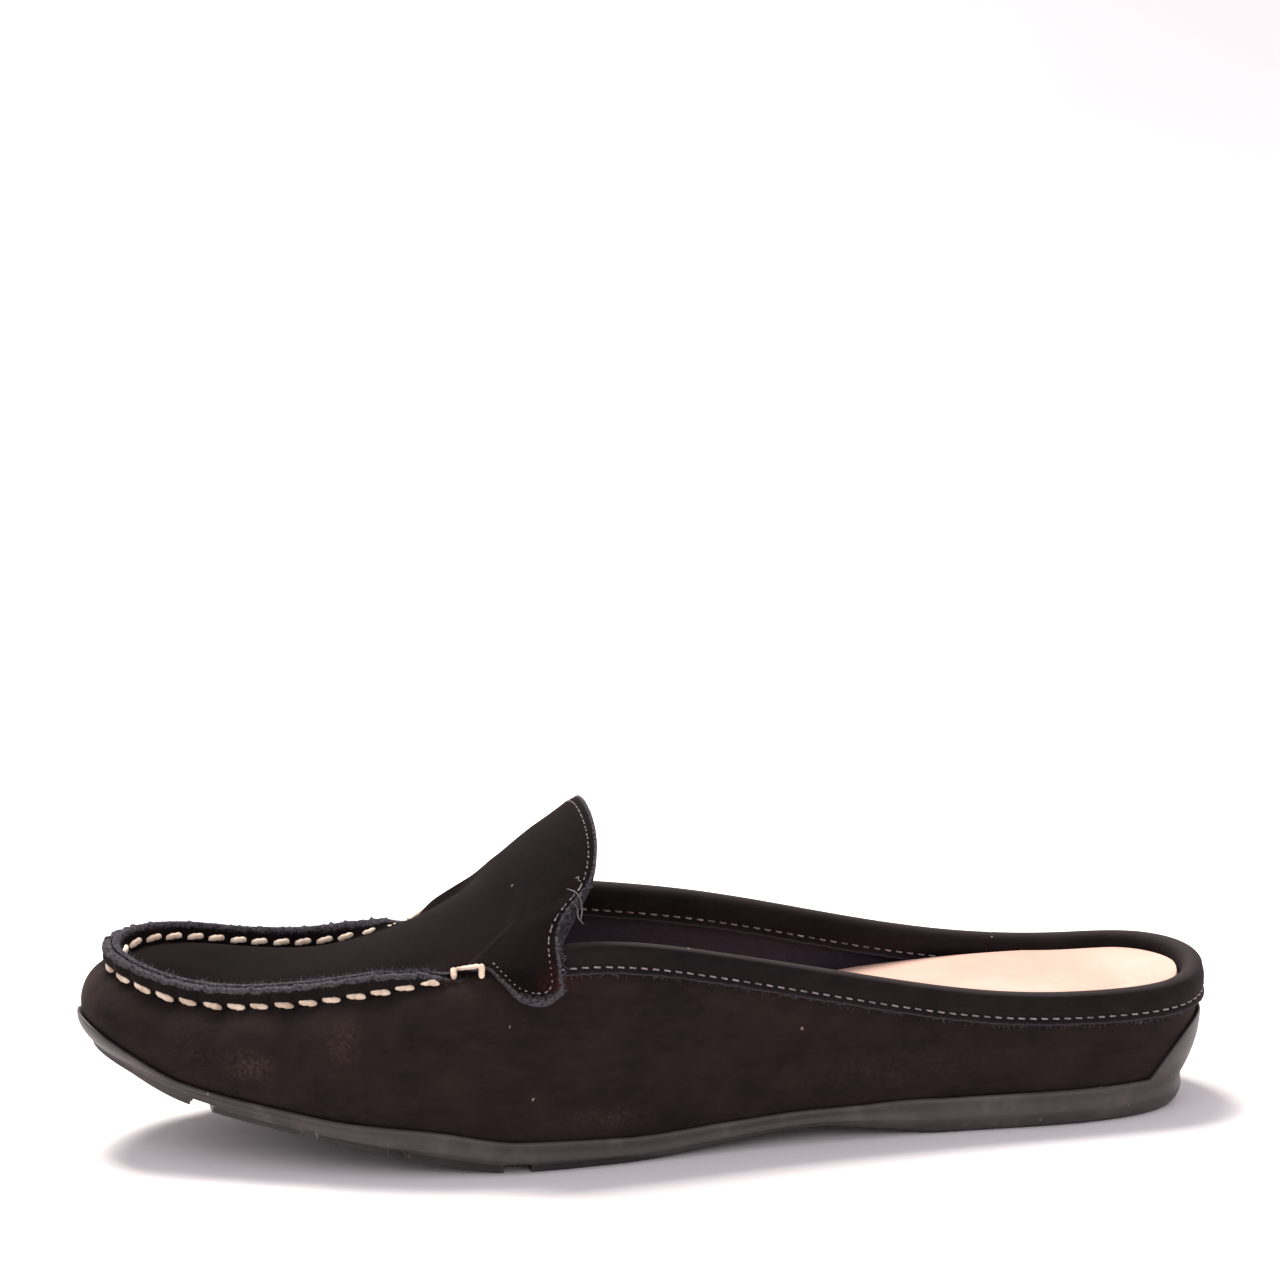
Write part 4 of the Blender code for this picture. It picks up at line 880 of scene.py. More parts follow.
def build_binding():
    """Closed section: outer leg up, crown, inner leg down, and back up inside the fold."""
    start = WING_ALONG * FOOT_LENGTH + BINDING_HIDDEN
    keep = np.where(PLAN[:, 0] < start)[0]
    path = np.concatenate([keep[keep < HALF][::-1], keep[keep > HALF][::-1]])
    far = GAP + BINDING_WALL
    outside, lift = binding_leg(BINDING_DROP, SEAM_DROP, 6)
    inside, inner_lift = binding_leg(BINDING_INNER_DROP, SEAM_INNER_DROP, 7)
    face = [wall_at_depth(outside, far + lift), wall_at_depth(inside, -WALL - GAP - far - inner_lift)]
    o, h = TOP_OUT, TOP_HIGH
    turn = np.linspace(0, np.pi, CROWN_ROWS + 2)[1:-1, None]
    middle, half = (face[0][0][0] + face[1][0][0]) / 2, (face[0][0][0] - face[1][0][0]) / 2
    base = np.minimum(face[0][1][0], face[1][1][0])
    tall = h + far * 1.12 - base
    blend = (1 + np.cos(turn)) / 2
    crown = (middle + half * np.cos(turn),
             base + tall * np.sin(turn) ** 0.8 + (face[0][1][0] - base) * blend * (1 - np.sin(turn))
             + (face[1][1][0] - base) * (1 - blend) * (1 - np.sin(turn)))
    back = [wall_at_depth(inside[::-1][::4], -WALL - GAP - GAP), wall_at_depth(outside[::4], GAP)]
    fold = (np.stack([o - WALL - GAP, o + GAP]), np.stack([h + GAP, h + GAP]))
    parts = [(face[0][0][::-1], face[0][1][::-1]), crown, face[1], back[0], fold, back[1]]
    ring = np.concatenate([place(p, q) for p, q in parts])[:, path]
    cells = quads(len(ring), len(path), close_rows=True)
    first = np.arange(len(ring)) * len(path)
    caps = [first[None, :], (first + len(path) - 1)[None, ::-1]]
    raw = np.zeros(ring.shape[:2])
    inner_edge = 2 * LEG_ROWS + CROWN_ROWS - 1
    raw[0] = raw[inner_edge] = 1
    raw[1] = raw[inner_edge - 1] = 0.5
    worn = np.zeros_like(raw)
    worn[LEG_ROWS:LEG_ROWS + CROWN_ROWS] = np.sin(np.pi * np.linspace(0, 1, CROWN_ROWS))[:, None]
    # Mask of the painted shade along the seam's channel on the outer leg.
    valley = np.zeros_like(raw)
    valley[:LEG_ROWS] = np.exp(-((outside[::-1] - SEAM_DROP) / 0.0005) ** 2)[:, path]
    masks = {"raw": raw, "lining": raw * 0, "valley": valley, "worn": worn}
    return ring, [cells, *caps], masks, path


ring, cells, masks, collar_path = build_binding()
binding = new_piece("collar_strip", ring, cells, masks)
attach(binding, "root")
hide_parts("collar_binding")
print("binding:", ring.shape[1], "places of", ring.shape[0], "points")

# %% [markdown]
# The footbed is a wedge covered in smooth leather. Its edge follows the wall, its heel is dished
# by the foot, and the leather has wrinkled a little where it turns down at the back.

# %% Footbed
FOOTBED_COLS = 40
SIDE_SHARES = (0.0, 0.3, 0.6, 0.85, 0.96, 1.0)
FOOTBED_ROUND = 0.0006      # rounded edge of the footbed
# Wrinkles near the heel: share along, share across, depth in metres, widths as such shares
WRINKLES = [(0.045, 0.30, 0.0005, 0.018, 0.096), (0.060, 0.24, 0.0004, 0.021, 0.084)]


def footbed(x):
    """Height of the footbed's edge: sole + thickness, rising to the heel seat."""
    xs, lift = columns(FOOTBED, FOOTBED_COLUMNS, ["along", "lift"])
    low = seat(x) + GAP + INSOLE_THICKNESS
    return low + smooth(xs * FOOT_LENGTH, lift, x) * (HEEL_SEAT - low)


def build_footbed():
    """Side rings up the wall, then rows across the top: edge to edge, less a dish sin(pi v)."""
    top = np.minimum(footbed(PLAN[:, 0]), TOP_HIGH - WALL)
    bottom = FEATHER + GAP
    inside = -(WALL + BINDING_WALL + FOOTBED_CLEAR)
    rings = []
    for share in SIDE_SHARES:
        high = bottom + (top - bottom) * share
        reach = np.minimum(wall_offset(high, inside)[0], inside + np.maximum(TOP_OUT, 0) + SWELL)
        reach = np.minimum(reach, wall_offset(high + GAP, inside)[0])
        rings.append(place(reach - FOOTBED_ROUND * share ** 12, high)[0])
    rings = np.array(rings)
    left = np.arange(1, HALF)
    right = AROUND - left
    v = np.linspace(0, 1, FOOTBED_COLS + 1)[1:-1, None]
    a, b = rings[-1][left], rings[-1][right]
    across = a * (1 - v[..., None]) + b * v[..., None]
    share = PLAN[left, 0] / FOOT_LENGTH
    round_edge = FOOTBED_ROUND * (1 - np.exp(-np.minimum(v, 1 - v) / 0.02))
    dish = FOOTBED_DISH * np.clip(1 - share / DISH_END, 0, 1) * ease(share / 0.05)
    across[..., 2] += round_edge - dish * np.sin(np.pi * v)
    for at, over, tall, wide, broad in WRINKLES:
        across[..., 2] -= tall * np.exp(-((share - at) / wide) ** 2 - ((v - over) / broad) ** 2)
    count = len(rings) * AROUND
    grid = np.full((HALF + 1, FOOTBED_COLS + 1), -1)
    start = (len(rings) - 1) * AROUND
    grid[0], grid[HALF] = start, start + HALF
    grid[1:HALF, 0], grid[1:HALF, -1] = start + left, start + right
    inner = np.arange((FOOTBED_COLS - 1) * (HALF - 1)).reshape(FOOTBED_COLS - 1, HALF - 1) + count
    grid[1:HALF, 1:-1] = inner.T
    body = np.stack([grid[1:-2, 1:], grid[2:-1, 1:], grid[2:-1, :-1], grid[1:-2, :-1]], -1).reshape(-1, 4)
    fans = [np.stack([grid[1, 1:], grid[1, :-1], np.full(FOOTBED_COLS, start)], -1),
            np.stack([grid[-2, :-1], grid[-2, 1:], np.full(FOOTBED_COLS, start + HALF)], -1)]
    low = np.arange(AROUND)[None, :]
    points = np.concatenate([rings.reshape(-1, 3), across.reshape(-1, 3)])
    sides = quads(len(rings), AROUND, close_cols=True)[:, ::-1]
    rim = np.concatenate([np.repeat(np.array(SIDE_SHARES) ** 8, AROUND), np.zeros(inner.size)])
    return points, [sides, body, *fans, low], rim


points, cells, rim = build_footbed()
insole = new_piece("footbed_leather", points, cells, {"rim": rim})
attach(insole, "root")
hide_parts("insole")
print("footbed:", len(points), "points")

# %% [markdown]
# The sole is one moulding: a seat for the upper, a thin lip that climbs its side and grows into a
# guard at the heel and a bumper at the toe, a plain side wall with steps, and tread pads below.
# It is turned as rings of sections round the shoe, and the grooves between the pads are then cut
# with straight bars, as a mould maker would mill them.

# %% Outsole
MOULD_EDGE = 0.00035        # rounding of the moulded corners


def sole_rings():
    """Rings (offset, height) from the seat, up inside the lip, over it, down the side steps and
    under the tread. Corners are doubled a rounding apart, so they catch a line of light."""
    lip_top = FEATHER + GUARD
    side = GAP + LIP_THICKNESS
    low = under(PLAN[:, 0])
    fore = np.clip((PLAN[:, 0] / FOOT_LENGTH - TREAD_FROM) / TREAD_BLEND, 0, 1)
    mid = (FEATHER + low) / 2
    base = low + TREAD * fore + HEEL_CHAMFER * (1 - fore)
    rings = [(0 * low + GAP, FEATHER)]
    for share in (0.2, 0.4, 0.6, 0.8, 1.0):
        high = FEATHER + GAP + (lip_top - FEATHER - GAP) * share
        rings.append((np.maximum(wall_offset(high, GAP)[0], GAP), high))
    thin = np.clip((lip_top - FEATHER) / (HEEL_GUARD * 0.5), 0.35, 1)
    outer_top = np.maximum(wall_offset(lip_top, side * 0.75)[0], side * 0.7)
    inner_top = rings[-1][0]
    for share, rise in ((0.3, 0.7), (0.6, 1.0), (0.85, 0.75)):
        rings.append((inner_top * (1 - share) + outer_top * share, lip_top + MOULD_EDGE * rise * thin))
    for share in (0.97, 0.85, 0.7, 0.55, 0.4, 0.25, 0.12):
        high = FEATHER + (lip_top - FEATHER) * share
        full = np.maximum(wall_offset(high, side)[0], side)
        part = np.maximum(wall_offset(high, side * 0.75)[0], side * 0.7)
        blend = min(1.0, (1 - share) / 0.35)
        rings.append((part * (1 - blend) + full * blend, high))
    rings += [(0 * low + side * share, high) for share, high in (
        (0.86, FEATHER - (FEATHER - mid) * 0.12),
        (0.74, FEATHER - (FEATHER - mid) * 0.45),
        (0.76, FEATHER - (FEATHER - mid) * 0.60),
        (0.88, mid + MOULD_EDGE * 0.6),
        (0.90, mid - MOULD_EDGE * 0.3),
        (0.70, mid * 0.45 + base * 0.55),
        (0.47, base + MOULD_EDGE * 0.8),
        (0.40, base),
    )]
    pad = side * 0.45 - TREAD_INSET
    step = base * fore + (low + GAP) * (1 - fore)
    rings += [
        (0 * low + pad + MOULD_EDGE * 0.5, step + MOULD_EDGE * 0.1 * (1 - fore)),
        (0 * low + pad, step - MOULD_EDGE * 0.6 * fore),
        (0 * low + pad - TREAD_INSET * 0.1, low + MOULD_EDGE * 0.7),
        (0 * low + pad - TREAD_INSET * 0.2 - MOULD_EDGE * 0.4, low),
    ]
    return rings


def ladder(start):
    """Cells across a ring of places, each outer place joined to the inner one opposite."""
    k = np.arange(1, HALF - 1)
    body = np.stack([k, k + 1, AROUND - k - 1, AROUND - k], -1) + start
    ends = np.array([[0, 1, AROUND - 1], [HALF - 1, HALF, HALF + 1]]) + start
    return [body, ends]


def cut_grooves(sole):
    """Bars across the tread, each turned to the slope of the underside, taken away one by one."""
    for name, share, width in GROOVES:
        x = share * FOOT_LENGTH
        slope = (under(x + width) - under(x - width)) / (2 * width)
        bpy.ops.mesh.primitive_cube_add(size=1.0)
        bar = bpy.context.active_object
        bar.scale = (width, BALL_WIDTH * 1.6, GROOVE_DEPTH * 2)
        bar.location = (x + SHIFT[0], SHIFT[1], float(under(x)))
        bar.rotation_euler = (0.0, -float(np.arctan(slope)), 0.0)
        cut = sole.modifiers.new(name, "BOOLEAN")
        cut.operation, cut.solver, cut.object = "DIFFERENCE", "EXACT", bar
        with bpy.context.temp_override(object=sole, active_object=sole):
            bpy.ops.object.modifier_apply(modifier=name)
        bpy.data.objects.remove(bar, do_unlink=True)


rings = sole_rings()
points = place(np.array([r[0] for r in rings]), np.array([r[1] for r in rings]))
cells = [quads(len(rings), AROUND, close_cols=True)]
cells += [c[:, ::-1] for c in ladder(0)] + ladder((len(rings) - 1) * AROUND)
upness = np.linspace(0, 1, len(rings))[:, None] + np.zeros(AROUND)
sole = new_piece("rubber_sole", points, cells, {"row": upness}, smooth_angle=38)
cut_grooves(sole)
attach(sole, "root")
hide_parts("outsole")
print("sole:", len(sole.data.vertices), "points,", len(GROOVES), "grooves")

# %% [markdown]
# The seam is sewn by hand with a doubled, waxed cream thread, thick enough to read from across
# a room. Every stitch is a short rope that comes up out of one hole and dives into the next, so
# all of them are one formula evaluated for many starting points along a path.

# %% Threads along a path
def read_path(values, run, at):
    """Values (points, 3) along a path read at running lengths, coordinate by coordinate."""
    return np.stack([np.interp(at, run, values[:, k]) for k in range(values.shape[1])], -1)


def unit(vectors):
    """Vectors scaled to length one."""
    return vectors / np.maximum(np.linalg.norm(vectors, axis=-1, keepdims=True), 1e-12)


def smoothed(points, reach):
    """Points (n, columns) averaged over `reach` neighbours each way, with the ends held."""
    kernel = np.ones(2 * reach + 1) / (2 * reach + 1)
    return np.array([np.convolve(np.pad(p, reach, "edge"), kernel, "valid") for p in points.T]).T


def ropes(centre, across, normal, width, thick, sides=10, turns=1.5, lobes=0.10, taper=0.75):
    """Ropes (n, rings, 3) as closed skins: at each ring an ellipse across w cos(q) + normal
    t sin(q), with two lobes 1 + a cos 2(q - 2 pi turns u) that twist along it, and thin ends."""
    count, rings = centre.shape[:2]
    u = np.linspace(0, 1, rings)[:, None]
    q = np.linspace(0, 2 * np.pi, sides, endpoint=False)
    swell = (1 - taper * np.abs(2 * u - 1) ** 6) * (1 + lobes * np.cos(2 * (q - 2 * np.pi * turns * u)))
    x = (width / 2 * np.cos(q) * swell)[None, ..., None]
    y = (thick / 2 * np.sin(q) * swell)[None, ..., None]
    points = centre[:, :, None] + across[:, :, None] * x + normal[:, :, None] * y
    cell = quads(rings, sides, close_cols=True)
    step = (np.arange(count) * rings * sides)[:, None, None]
    body = (cell[None] + step).reshape(-1, 4)
    cap = np.arange(sides)[None, ::-1] + step[:, 0]
    return points.reshape(-1, 3), [body, cap, cap[:, ::-1] + (rings - 1) * sides]


def stitch_row(path, normals, starts, length, width, thick, sink, slant=0.0, rings=12, **look):
    """Stitches on a path: centre = path + normal ((t/2 + sink) sqrt(sin pi u) - sink), leaning
    by slant (1/2 - u) to the side; across is the path's direction turned by the normal."""
    run = along(path)
    u = np.linspace(0, 1, rings)
    at = np.asarray(starts)[:, None] + u * length
    centre, normal = read_path(path, run, at), unit(read_path(normals, run, at))
    ahead = unit(read_path(np.gradient(path, axis=0), run, at))
    across = unit(np.cross(normal, ahead))
    bow = np.sqrt(np.sin(np.pi * u))
    centre = centre + normal * ((thick / 2 + sink) * bow - sink)[:, None]
    centre = centre + across * (slant * (0.5 - u))[:, None]
    return ropes(centre, across, normal, width, thick, **look)


def gather(batches):
    """Several batches of points and cells as one, with the numbers of the cells moved on."""
    points, cells, start = [], [], 0
    for p, group in batches:
        points.append(p)
        cells += [c + start for c in group]
        start += len(p)
    return np.concatenate(points), cells


out3 = np.column_stack([OUTWARD, np.zeros(AROUND)])
up3 = np.array([0.0, 0.0, 1.0])
print("threads ready")

# %% [markdown]
# A saddle stitch shows on both sides of the ridge. The outer row lies in the valley below the
# raw edge, the inner row a little higher on the apron's standing edge. Hand sewing is never
# quite even, so lengths and slants wander by a few per cent.

# %% Hand seam, both faces
SEAM_SINK = 0.0005          # how deep the ends of a stitch dive
SLANT = 0.0010              # lean of a stitch across the seam
UNEVEN = 0.00012            # spread of the holes about their places
INNER_ROW_HIGH = 0.0017     # inner row above the valley
sewn = slice(tack_outer, tack_inner + 1)
lean = RIDGE_LEAN * RIDGE_SHARE
seam_out = place(TOP_OUT + lean * 0.1 - VALLEY * 0.6, TOP_HIGH + 0.0003)[0][sewn]
seam_in = place(TOP_OUT - WALL - GAP - APRON_WALL + lean * 0.4,
                SEAM_LINE + INNER_ROW_HIGH * RIDGE_SHARE)[0][sewn]
starts = np.arange(1, STITCHES - 1) * PITCH + (PITCH - STITCH_LENGTH) / 2
starts = starts + rng.normal(0, UNEVEN, len(starts))
in_scale = along(seam_in)[-1] / along(seam_out)[-1]
normal_out = unit(out3 + up3 * 0.35)[sewn]
normal_in = unit(-out3 + up3 * 0.45)[sewn]
seam_thread = gather([
    stitch_row(seam_out, normal_out, starts, STITCH_LENGTH, STITCH_WIDTH, STITCH_THICKNESS,
               SEAM_SINK, SLANT, taper=0.85),
    stitch_row(seam_in, normal_in, starts * in_scale, STITCH_LENGTH * in_scale, STITCH_WIDTH * 0.9,
               STITCH_THICKNESS, SEAM_SINK, -SLANT * 0.6),
])
print("hand stitches:", 2 * len(starts))

# %% [markdown]
# Where the seam ends, a tack holds the wing: two tight loops round both leathers and a bar
# between them. A taut thread takes the convex outline of what it binds, so each loop is the
# support outline of the two edges: for every direction, the point that lies furthest that way.

# %% Tacks
TACK_HALF = 0.0030          # from the tack's middle to each loop
TACK_THREAD = 0.0012
BAR_AT = 15                 # step of the loops that the bar joins, near their top
LOOP_DOWN, LOOP_UP = 0.0022, 0.0019     # reach of a loop below and above the tack's middle
LOOP_CORNERS, LOOP_POINTS = 17, 18      # corners of the apron's edge it binds, its own points


def hull_path(i, middle, low=-1.2, high=2.2, steps=80):
    """Taut outline round apron and upper at place i, for directions `low`..`high` (radians from
    straight outwards), pushed out by the thread's radius and kept near the height `middle`."""
    corners = np.vstack([apron_section[:LOOP_CORNERS, i], [TOP_OUT[i], TOP_HIGH[i]],
                         [TOP_OUT[i] + 0.0002, TOP_HIGH[i] - 0.0015],
                         [TOP_OUT[i] - WALL - GAP - APRON_WALL, SEAM_LINE[i] - 0.001]])
    turn = np.linspace(low, high, steps)
    way = np.stack([np.cos(turn), np.sin(turn)], 1)
    best = corners[np.argmax(way @ corners.T, 1)] + way * TACK_THREAD * 0.42
    soft = smoothed(best, 2)
    keep = (soft[:, 1] > middle - LOOP_DOWN) & (soft[:, 1] < middle + LOOP_UP)
    soft, way = soft[keep], way[keep]
    points = np.column_stack([PLAN[i] + SHIFT + OUTWARD[i] * soft[:, :1], soft[:, 1]])
    normals = unit(np.column_stack([OUTWARD[i] * way[:, :1], way[:, 1]]))
    run = along(points)
    even = np.linspace(0, run[-1], LOOP_POINTS)
    return read_path(points, run, even), unit(read_path(normals, run, even))


def rope_on(points, normals, width, thick, **look):
    """One rope along points with its flat side on the surface under it."""
    across = unit(np.cross(normals, unit(np.gradient(points, axis=0))))
    return ropes(points[None], across[None], normals[None], width, thick, **look)


def tack(side):
    """Two loops and a bar at the tack of one side: +1 outer, -1 inner."""
    middle = tack_outer if side > 0 else tack_inner
    run = EDGE_RUN - EDGE_RUN[middle]
    height = SEAM_LINE[middle] + 0.0006
    loops = [hull_path(int(np.argmin(np.abs(run - d))), height) for d in (-TACK_HALF, TACK_HALF)]
    batches = [rope_on(p, n, TACK_THREAD * 1.15, TACK_THREAD * 0.8, sides=12, turns=4, lobes=0.12)
               for p, n in loops]
    share = np.linspace(0.03, 0.97, 14)[:, None]
    ends, ways = ([loop[k][BAR_AT] for loop in loops] for k in (0, 1))
    bar = ends[0] * (1 - share) + ends[1] * share
    normal = unit(ways[0] * (1 - share) + ways[1] * share)
    batches.append(rope_on(bar, normal, TACK_THREAD, TACK_THREAD * 0.8, sides=12, turns=2, lobes=0.12))
    return gather(batches)


points, cells = gather([seam_thread, tack(1), tack(-1)])
thread = new_piece("seam_thread", points, cells, smooth_angle=80)
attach(thread, "root")
print("seam thread:", len(points), "points")

# %% [markdown]
# Machine seams: a fine grey thread in short even stitches. One row holds the binding and shows
# on both of its legs, and one follows the free edge of the tongue, round the wings to the tacks.

# %% Machine seams
FINE_WIDTH, FINE_LENGTH, FINE_SINK = 0.00042, 0.00195, 0.00022
TONGUE_PITCH = 0.0029
TONGUE_MARGIN = 0.0023      # from the cut edge of the tongue to its seam


def collar_row(drop, gap, sign):
    """Stitches along one leg of the binding, with the wall's own normal."""
    out, high = wall_at_depth(drop, gap)
    n_out, n_high = (read_columns(WALL_DOWN, a[::-1], np.full((1, AROUND), drop))[0]
                     for a in (WALL_NO, WALL_NH))
    path = place(out, high)[0][collar_path]
    normal = np.column_stack([OUTWARD * n_out[:, None], n_high])[collar_path] * sign
    starts = np.arange(0.004, along(path)[-1] - 0.004, BINDING_PITCH)
    return stitch_row(path, normal, starts, FINE_LENGTH, FINE_WIDTH, FINE_WIDTH * 0.9, FINE_SINK,
                      0.0001, rings=8, sides=8, turns=0.5)


def tongue_row():
    """Stitches a margin inside the cut edge: up one wing, over the tongue, down the other."""
    first = rim_count - 1 - 3 * EDGE_FINE
    face = apron_ring[first:2 * rim_count + ACROSS_FINE - 1 - first]
    normal = unit(np.cross(np.gradient(face, axis=0), np.gradient(face, axis=1)))
    steps = np.linalg.norm(np.diff(face, axis=0), axis=2)
    run = np.concatenate([np.zeros((1, face.shape[1])), np.cumsum(steps, 0)])
    back = face.shape[1] - 4
    front = int(np.argmax(PLAN[outer_rows, 0] < TACK_X - TACK_HALF * 1.3))
    rows = np.arange(front, back)

    def at(length):
        """Point and normal on each wing row at a length from the lower edge."""
        return [np.array([[np.interp(d, run[:, k], a[:, k, c]) for c in range(3)]
                          for k, d in zip(rows, length)]) for a in (face, normal)]

    low, high = at(np.full(len(rows), TONGUE_MARGIN)), at(run[-1, rows] - TONGUE_MARGIN)
    inside = (run[:, back] > TONGUE_MARGIN) & (run[:, back] < run[-1, back] - TONGUE_MARGIN)
    path = np.concatenate([low[0], face[inside, back], high[0][::-1]])
    normals = np.concatenate([low[1], normal[inside, back], high[1][::-1]])
    fine = np.arange(0, along(path)[-1], 0.0005)
    path, normals = (read_path(a, along(path), fine) for a in (path, normals))
    path = smoothed(path, 4)
    starts = np.arange(0.001, along(path)[-1] - 0.003, TONGUE_PITCH)
    return path, unit(normals), starts


far = GAP + BINDING_WALL
tongue_path, tongue_normal, tongue_starts = tongue_row()
points, cells = gather([
    collar_row(SEAM_DROP, far - CHANNEL * 0.7, 1),
    collar_row(SEAM_INNER_DROP, -WALL - GAP - far + CHANNEL * 0.7, -1),
    stitch_row(tongue_path, tongue_normal, tongue_starts, FINE_LENGTH, FINE_WIDTH, FINE_WIDTH * 0.9,
               FINE_SINK, 0.0001, rings=8, sides=8, turns=0.5),
])
fine_thread = new_piece("machine_thread", points, cells, smooth_angle=80)
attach(fine_thread, "root")
print("machine thread:", len(points), "points,", len(tongue_starts), "stitches round the tongue")

# %% [markdown]
# Cut suede frays: short fibres stand off every raw edge, and a couple of thread ends were left
# long inside the tongue. Fibres are three-sided needles, thousands of them in one mesh.

# %% Fibres
FIBRES_SEAM, FIBRES_COLLAR, FIBRES_TONGUE = 1500, 700, 700
FIBRE_LENGTH, FIBRE_WIDTH = 0.00095, 0.00005


def fibres(path, normals, count, spread):
    """Needles from a path: direction = normal + random, length random, bending a little."""
    run = along(path)
    at = rng.uniform(0, run[-1], count)
    base = read_path(path, run, at) + rng.normal(0, spread, (count, 3))
    way = unit(unit(read_path(normals, run, at)) + rng.normal(0, 0.55, (count, 3)))
    bend = rng.normal(0, 0.35, (count, 3))
    u = np.linspace(0, 1, 4)[None, :, None]
    length = (FIBRE_LENGTH * rng.uniform(0.35, 1.3, count))[:, None, None]
    centre = base[:, None] + (way[:, None] * u + bend[:, None] * u ** 2 * 0.5) * length
    ahead = unit(np.gradient(centre, axis=1))
    side = unit(np.cross(ahead, up3 + 0.01))
    return ropes(centre, side, np.cross(ahead, side), FIBRE_WIDTH, FIBRE_WIDTH, sides=3, turns=0,
                 lobes=0, taper=0.5)


top = TOP_OUT + lean
ridge_top = place(top - WALL * 0.3, TOP_HIGH + RIDGE)[0][sewn]
ridge_in = place(top - WALL - GAP - APRON_WALL * 0.5, TOP_HIGH + RIDGE)[0][sewn]
strip_low = place(*wall_at_depth(BINDING_DROP, far * 0.9))[0][collar_path]
upside = apron_ring[rim_count - 13:rim_count + ACROSS_FINE + 12]
tongue_end, end_normal = upside[:, -1], unit(upside[:, -1] - upside[:, -4])
points, cells = gather([
    fibres(ridge_top, unit(out3 * 0.5 + up3)[sewn], FIBRES_SEAM, 0.0004),
    fibres(ridge_in, unit(up3 - out3 * 0.4)[sewn], FIBRES_SEAM, 0.0004),
    fibres(strip_low, unit(out3 * 0.8 - up3)[collar_path], FIBRES_COLLAR, 0.00015),
    fibres(tongue_end, end_normal, FIBRES_TONGUE, 0.0003),
])
fuzz = new_piece("edge_fibres", points, cells)
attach(fuzz, "root")
print("fibres:", len(points), "points")

# %% [markdown]
# Two thread ends hang inside the tongue's edge where the machine seam stopped, and a bit of lint
# sits on it. They are thin ropes along a few given points.

# %% Loose ends and lint
def loose_end(points, width):
    """A rope through a few given points, smoothed by a parabola between the middles."""
    corners = np.array(points)
    middles = np.vstack([corners[:1], (corners[1:] + corners[:-1]) / 2, corners[-1:]])
    t = np.linspace(0, 1, 6)[:-1, None, None]
    curve = (1 - t) ** 2 * middles[:-1] + 2 * t * (1 - t) * corners + t ** 2 * middles[1:]
    curve = np.swapaxes(curve, 0, 1).reshape(-1, 3)
    side = unit(np.cross(np.gradient(curve, axis=0), np.array([0.3, 0.1, 1.0])))
    other = unit(np.cross(np.gradient(curve, axis=0), side))
    return ropes(curve[None], side[None], other[None], width, width, sides=6, turns=0, lobes=0)


END_WIDTH = 0.00022
root = apron_ring[rim_count + 8, -2]
ends = [
    [(0, 0, 0), (-0.0012, 0.0004, -0.0012), (-0.0010, 0.0008, -0.0034), (-0.0024, 0.0010, -0.0050)],
    [(0.0012, 0.0002, 0.0030), (-0.0012, 0.0006, 0.0022), (-0.0022, 0.0010, -0.0010),
     (-0.0016, 0.0014, -0.0042)],
    [(-0.0008, 0.0002, 0.0052), (-0.0016, 0.0004, 0.0058), (-0.0012, 0.0006, 0.0048),
     (-0.0020, 0.0004, 0.0046)],
]
points, cells = gather([loose_end(root + np.array(path), END_WIDTH) for path in ends])
loose = new_piece("loose_ends", points, cells, smooth_angle=80)
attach(loose, "root")
print("loose ends:", len(ends))

# %% [markdown]
# Finishes. Black nubuck is not black: its nap is a very dark brown that turns lighter where it
# is brushed or dusty, and it shows no highlight, only a faint bloom at grazing angles. The
# patterns that several materials share are node groups. They read the object's own coordinates
# in metres, so a scale of 1000 means a millimetre. Short helpers keep the trees readable.

# %% Node helpers
VECTOR, NUMBER = "NodeSocketVector", "NodeSocketFloat"


def lin(r, g, b):
    """Colour from 0..255 display values: ((c / 255 + 0.055) / 1.055) ^ 2.4."""
    c = (np.array([r, g, b]) / 255 + 0.055) / 1.055
    return (*(float(v) for v in c ** 2.4), 1.0)


def add(tree, kind, inputs=None, **settings):
    """A node with its settings, and its sockets set to values or linked to other sockets."""
    node = tree.nodes.new(kind)
    for key, value in settings.items():
        setattr(node, key, value)
    for key, value in (inputs or {}).items():
        if isinstance(value, bpy.types.NodeSocket):
            tree.links.new(value, node.inputs[key])
        else:
            node.inputs[key].default_value = value
    return node


def calc(tree, operation, a, b):
    """Result of a Math node on a and b."""
    return add(tree, "ShaderNodeMath", {0: a, 1: b}, operation=operation).outputs[0]


def times(tree, a, b):
    """Product a b as a node's result."""
    return calc(tree, "MULTIPLY", a, b)


def plus(tree, a, b):
    """Sum a + b as a node's result."""
    return calc(tree, "ADD", a, b)


def mix(tree, share, a, b):
    """Colour a turned into b by share."""
    return add(tree, "ShaderNodeMix", {0: share, 6: a, 7: b}, data_type="RGBA").outputs[2]


def tint(tree, colour, mask, strength, towards):
    """Colour turned towards another by mask times strength."""
    return mix(tree, times(tree, mask, strength), colour, towards)


def ramp(tree, value, low, high):
    """0 below low, 1 above high, straight between."""
    return add(tree, "ShaderNodeMapRange", {0: value, 1: low, 2: high}, clamp=True).outputs[0]


def attribute(tree, name):
    """A mask that the mesh carries."""
    return add(tree, "ShaderNodeAttribute", attribute_name=name).outputs["Fac"]


def noise(tree, vector, scale, detail=3.0, rough=0.55):
    """Noise at so many waves a metre."""
    sockets = {"Vector": vector, "Scale": scale, "Detail": detail, "Roughness": rough}
    return add(tree, "ShaderNodeTexNoise", sockets).outputs["Fac"]


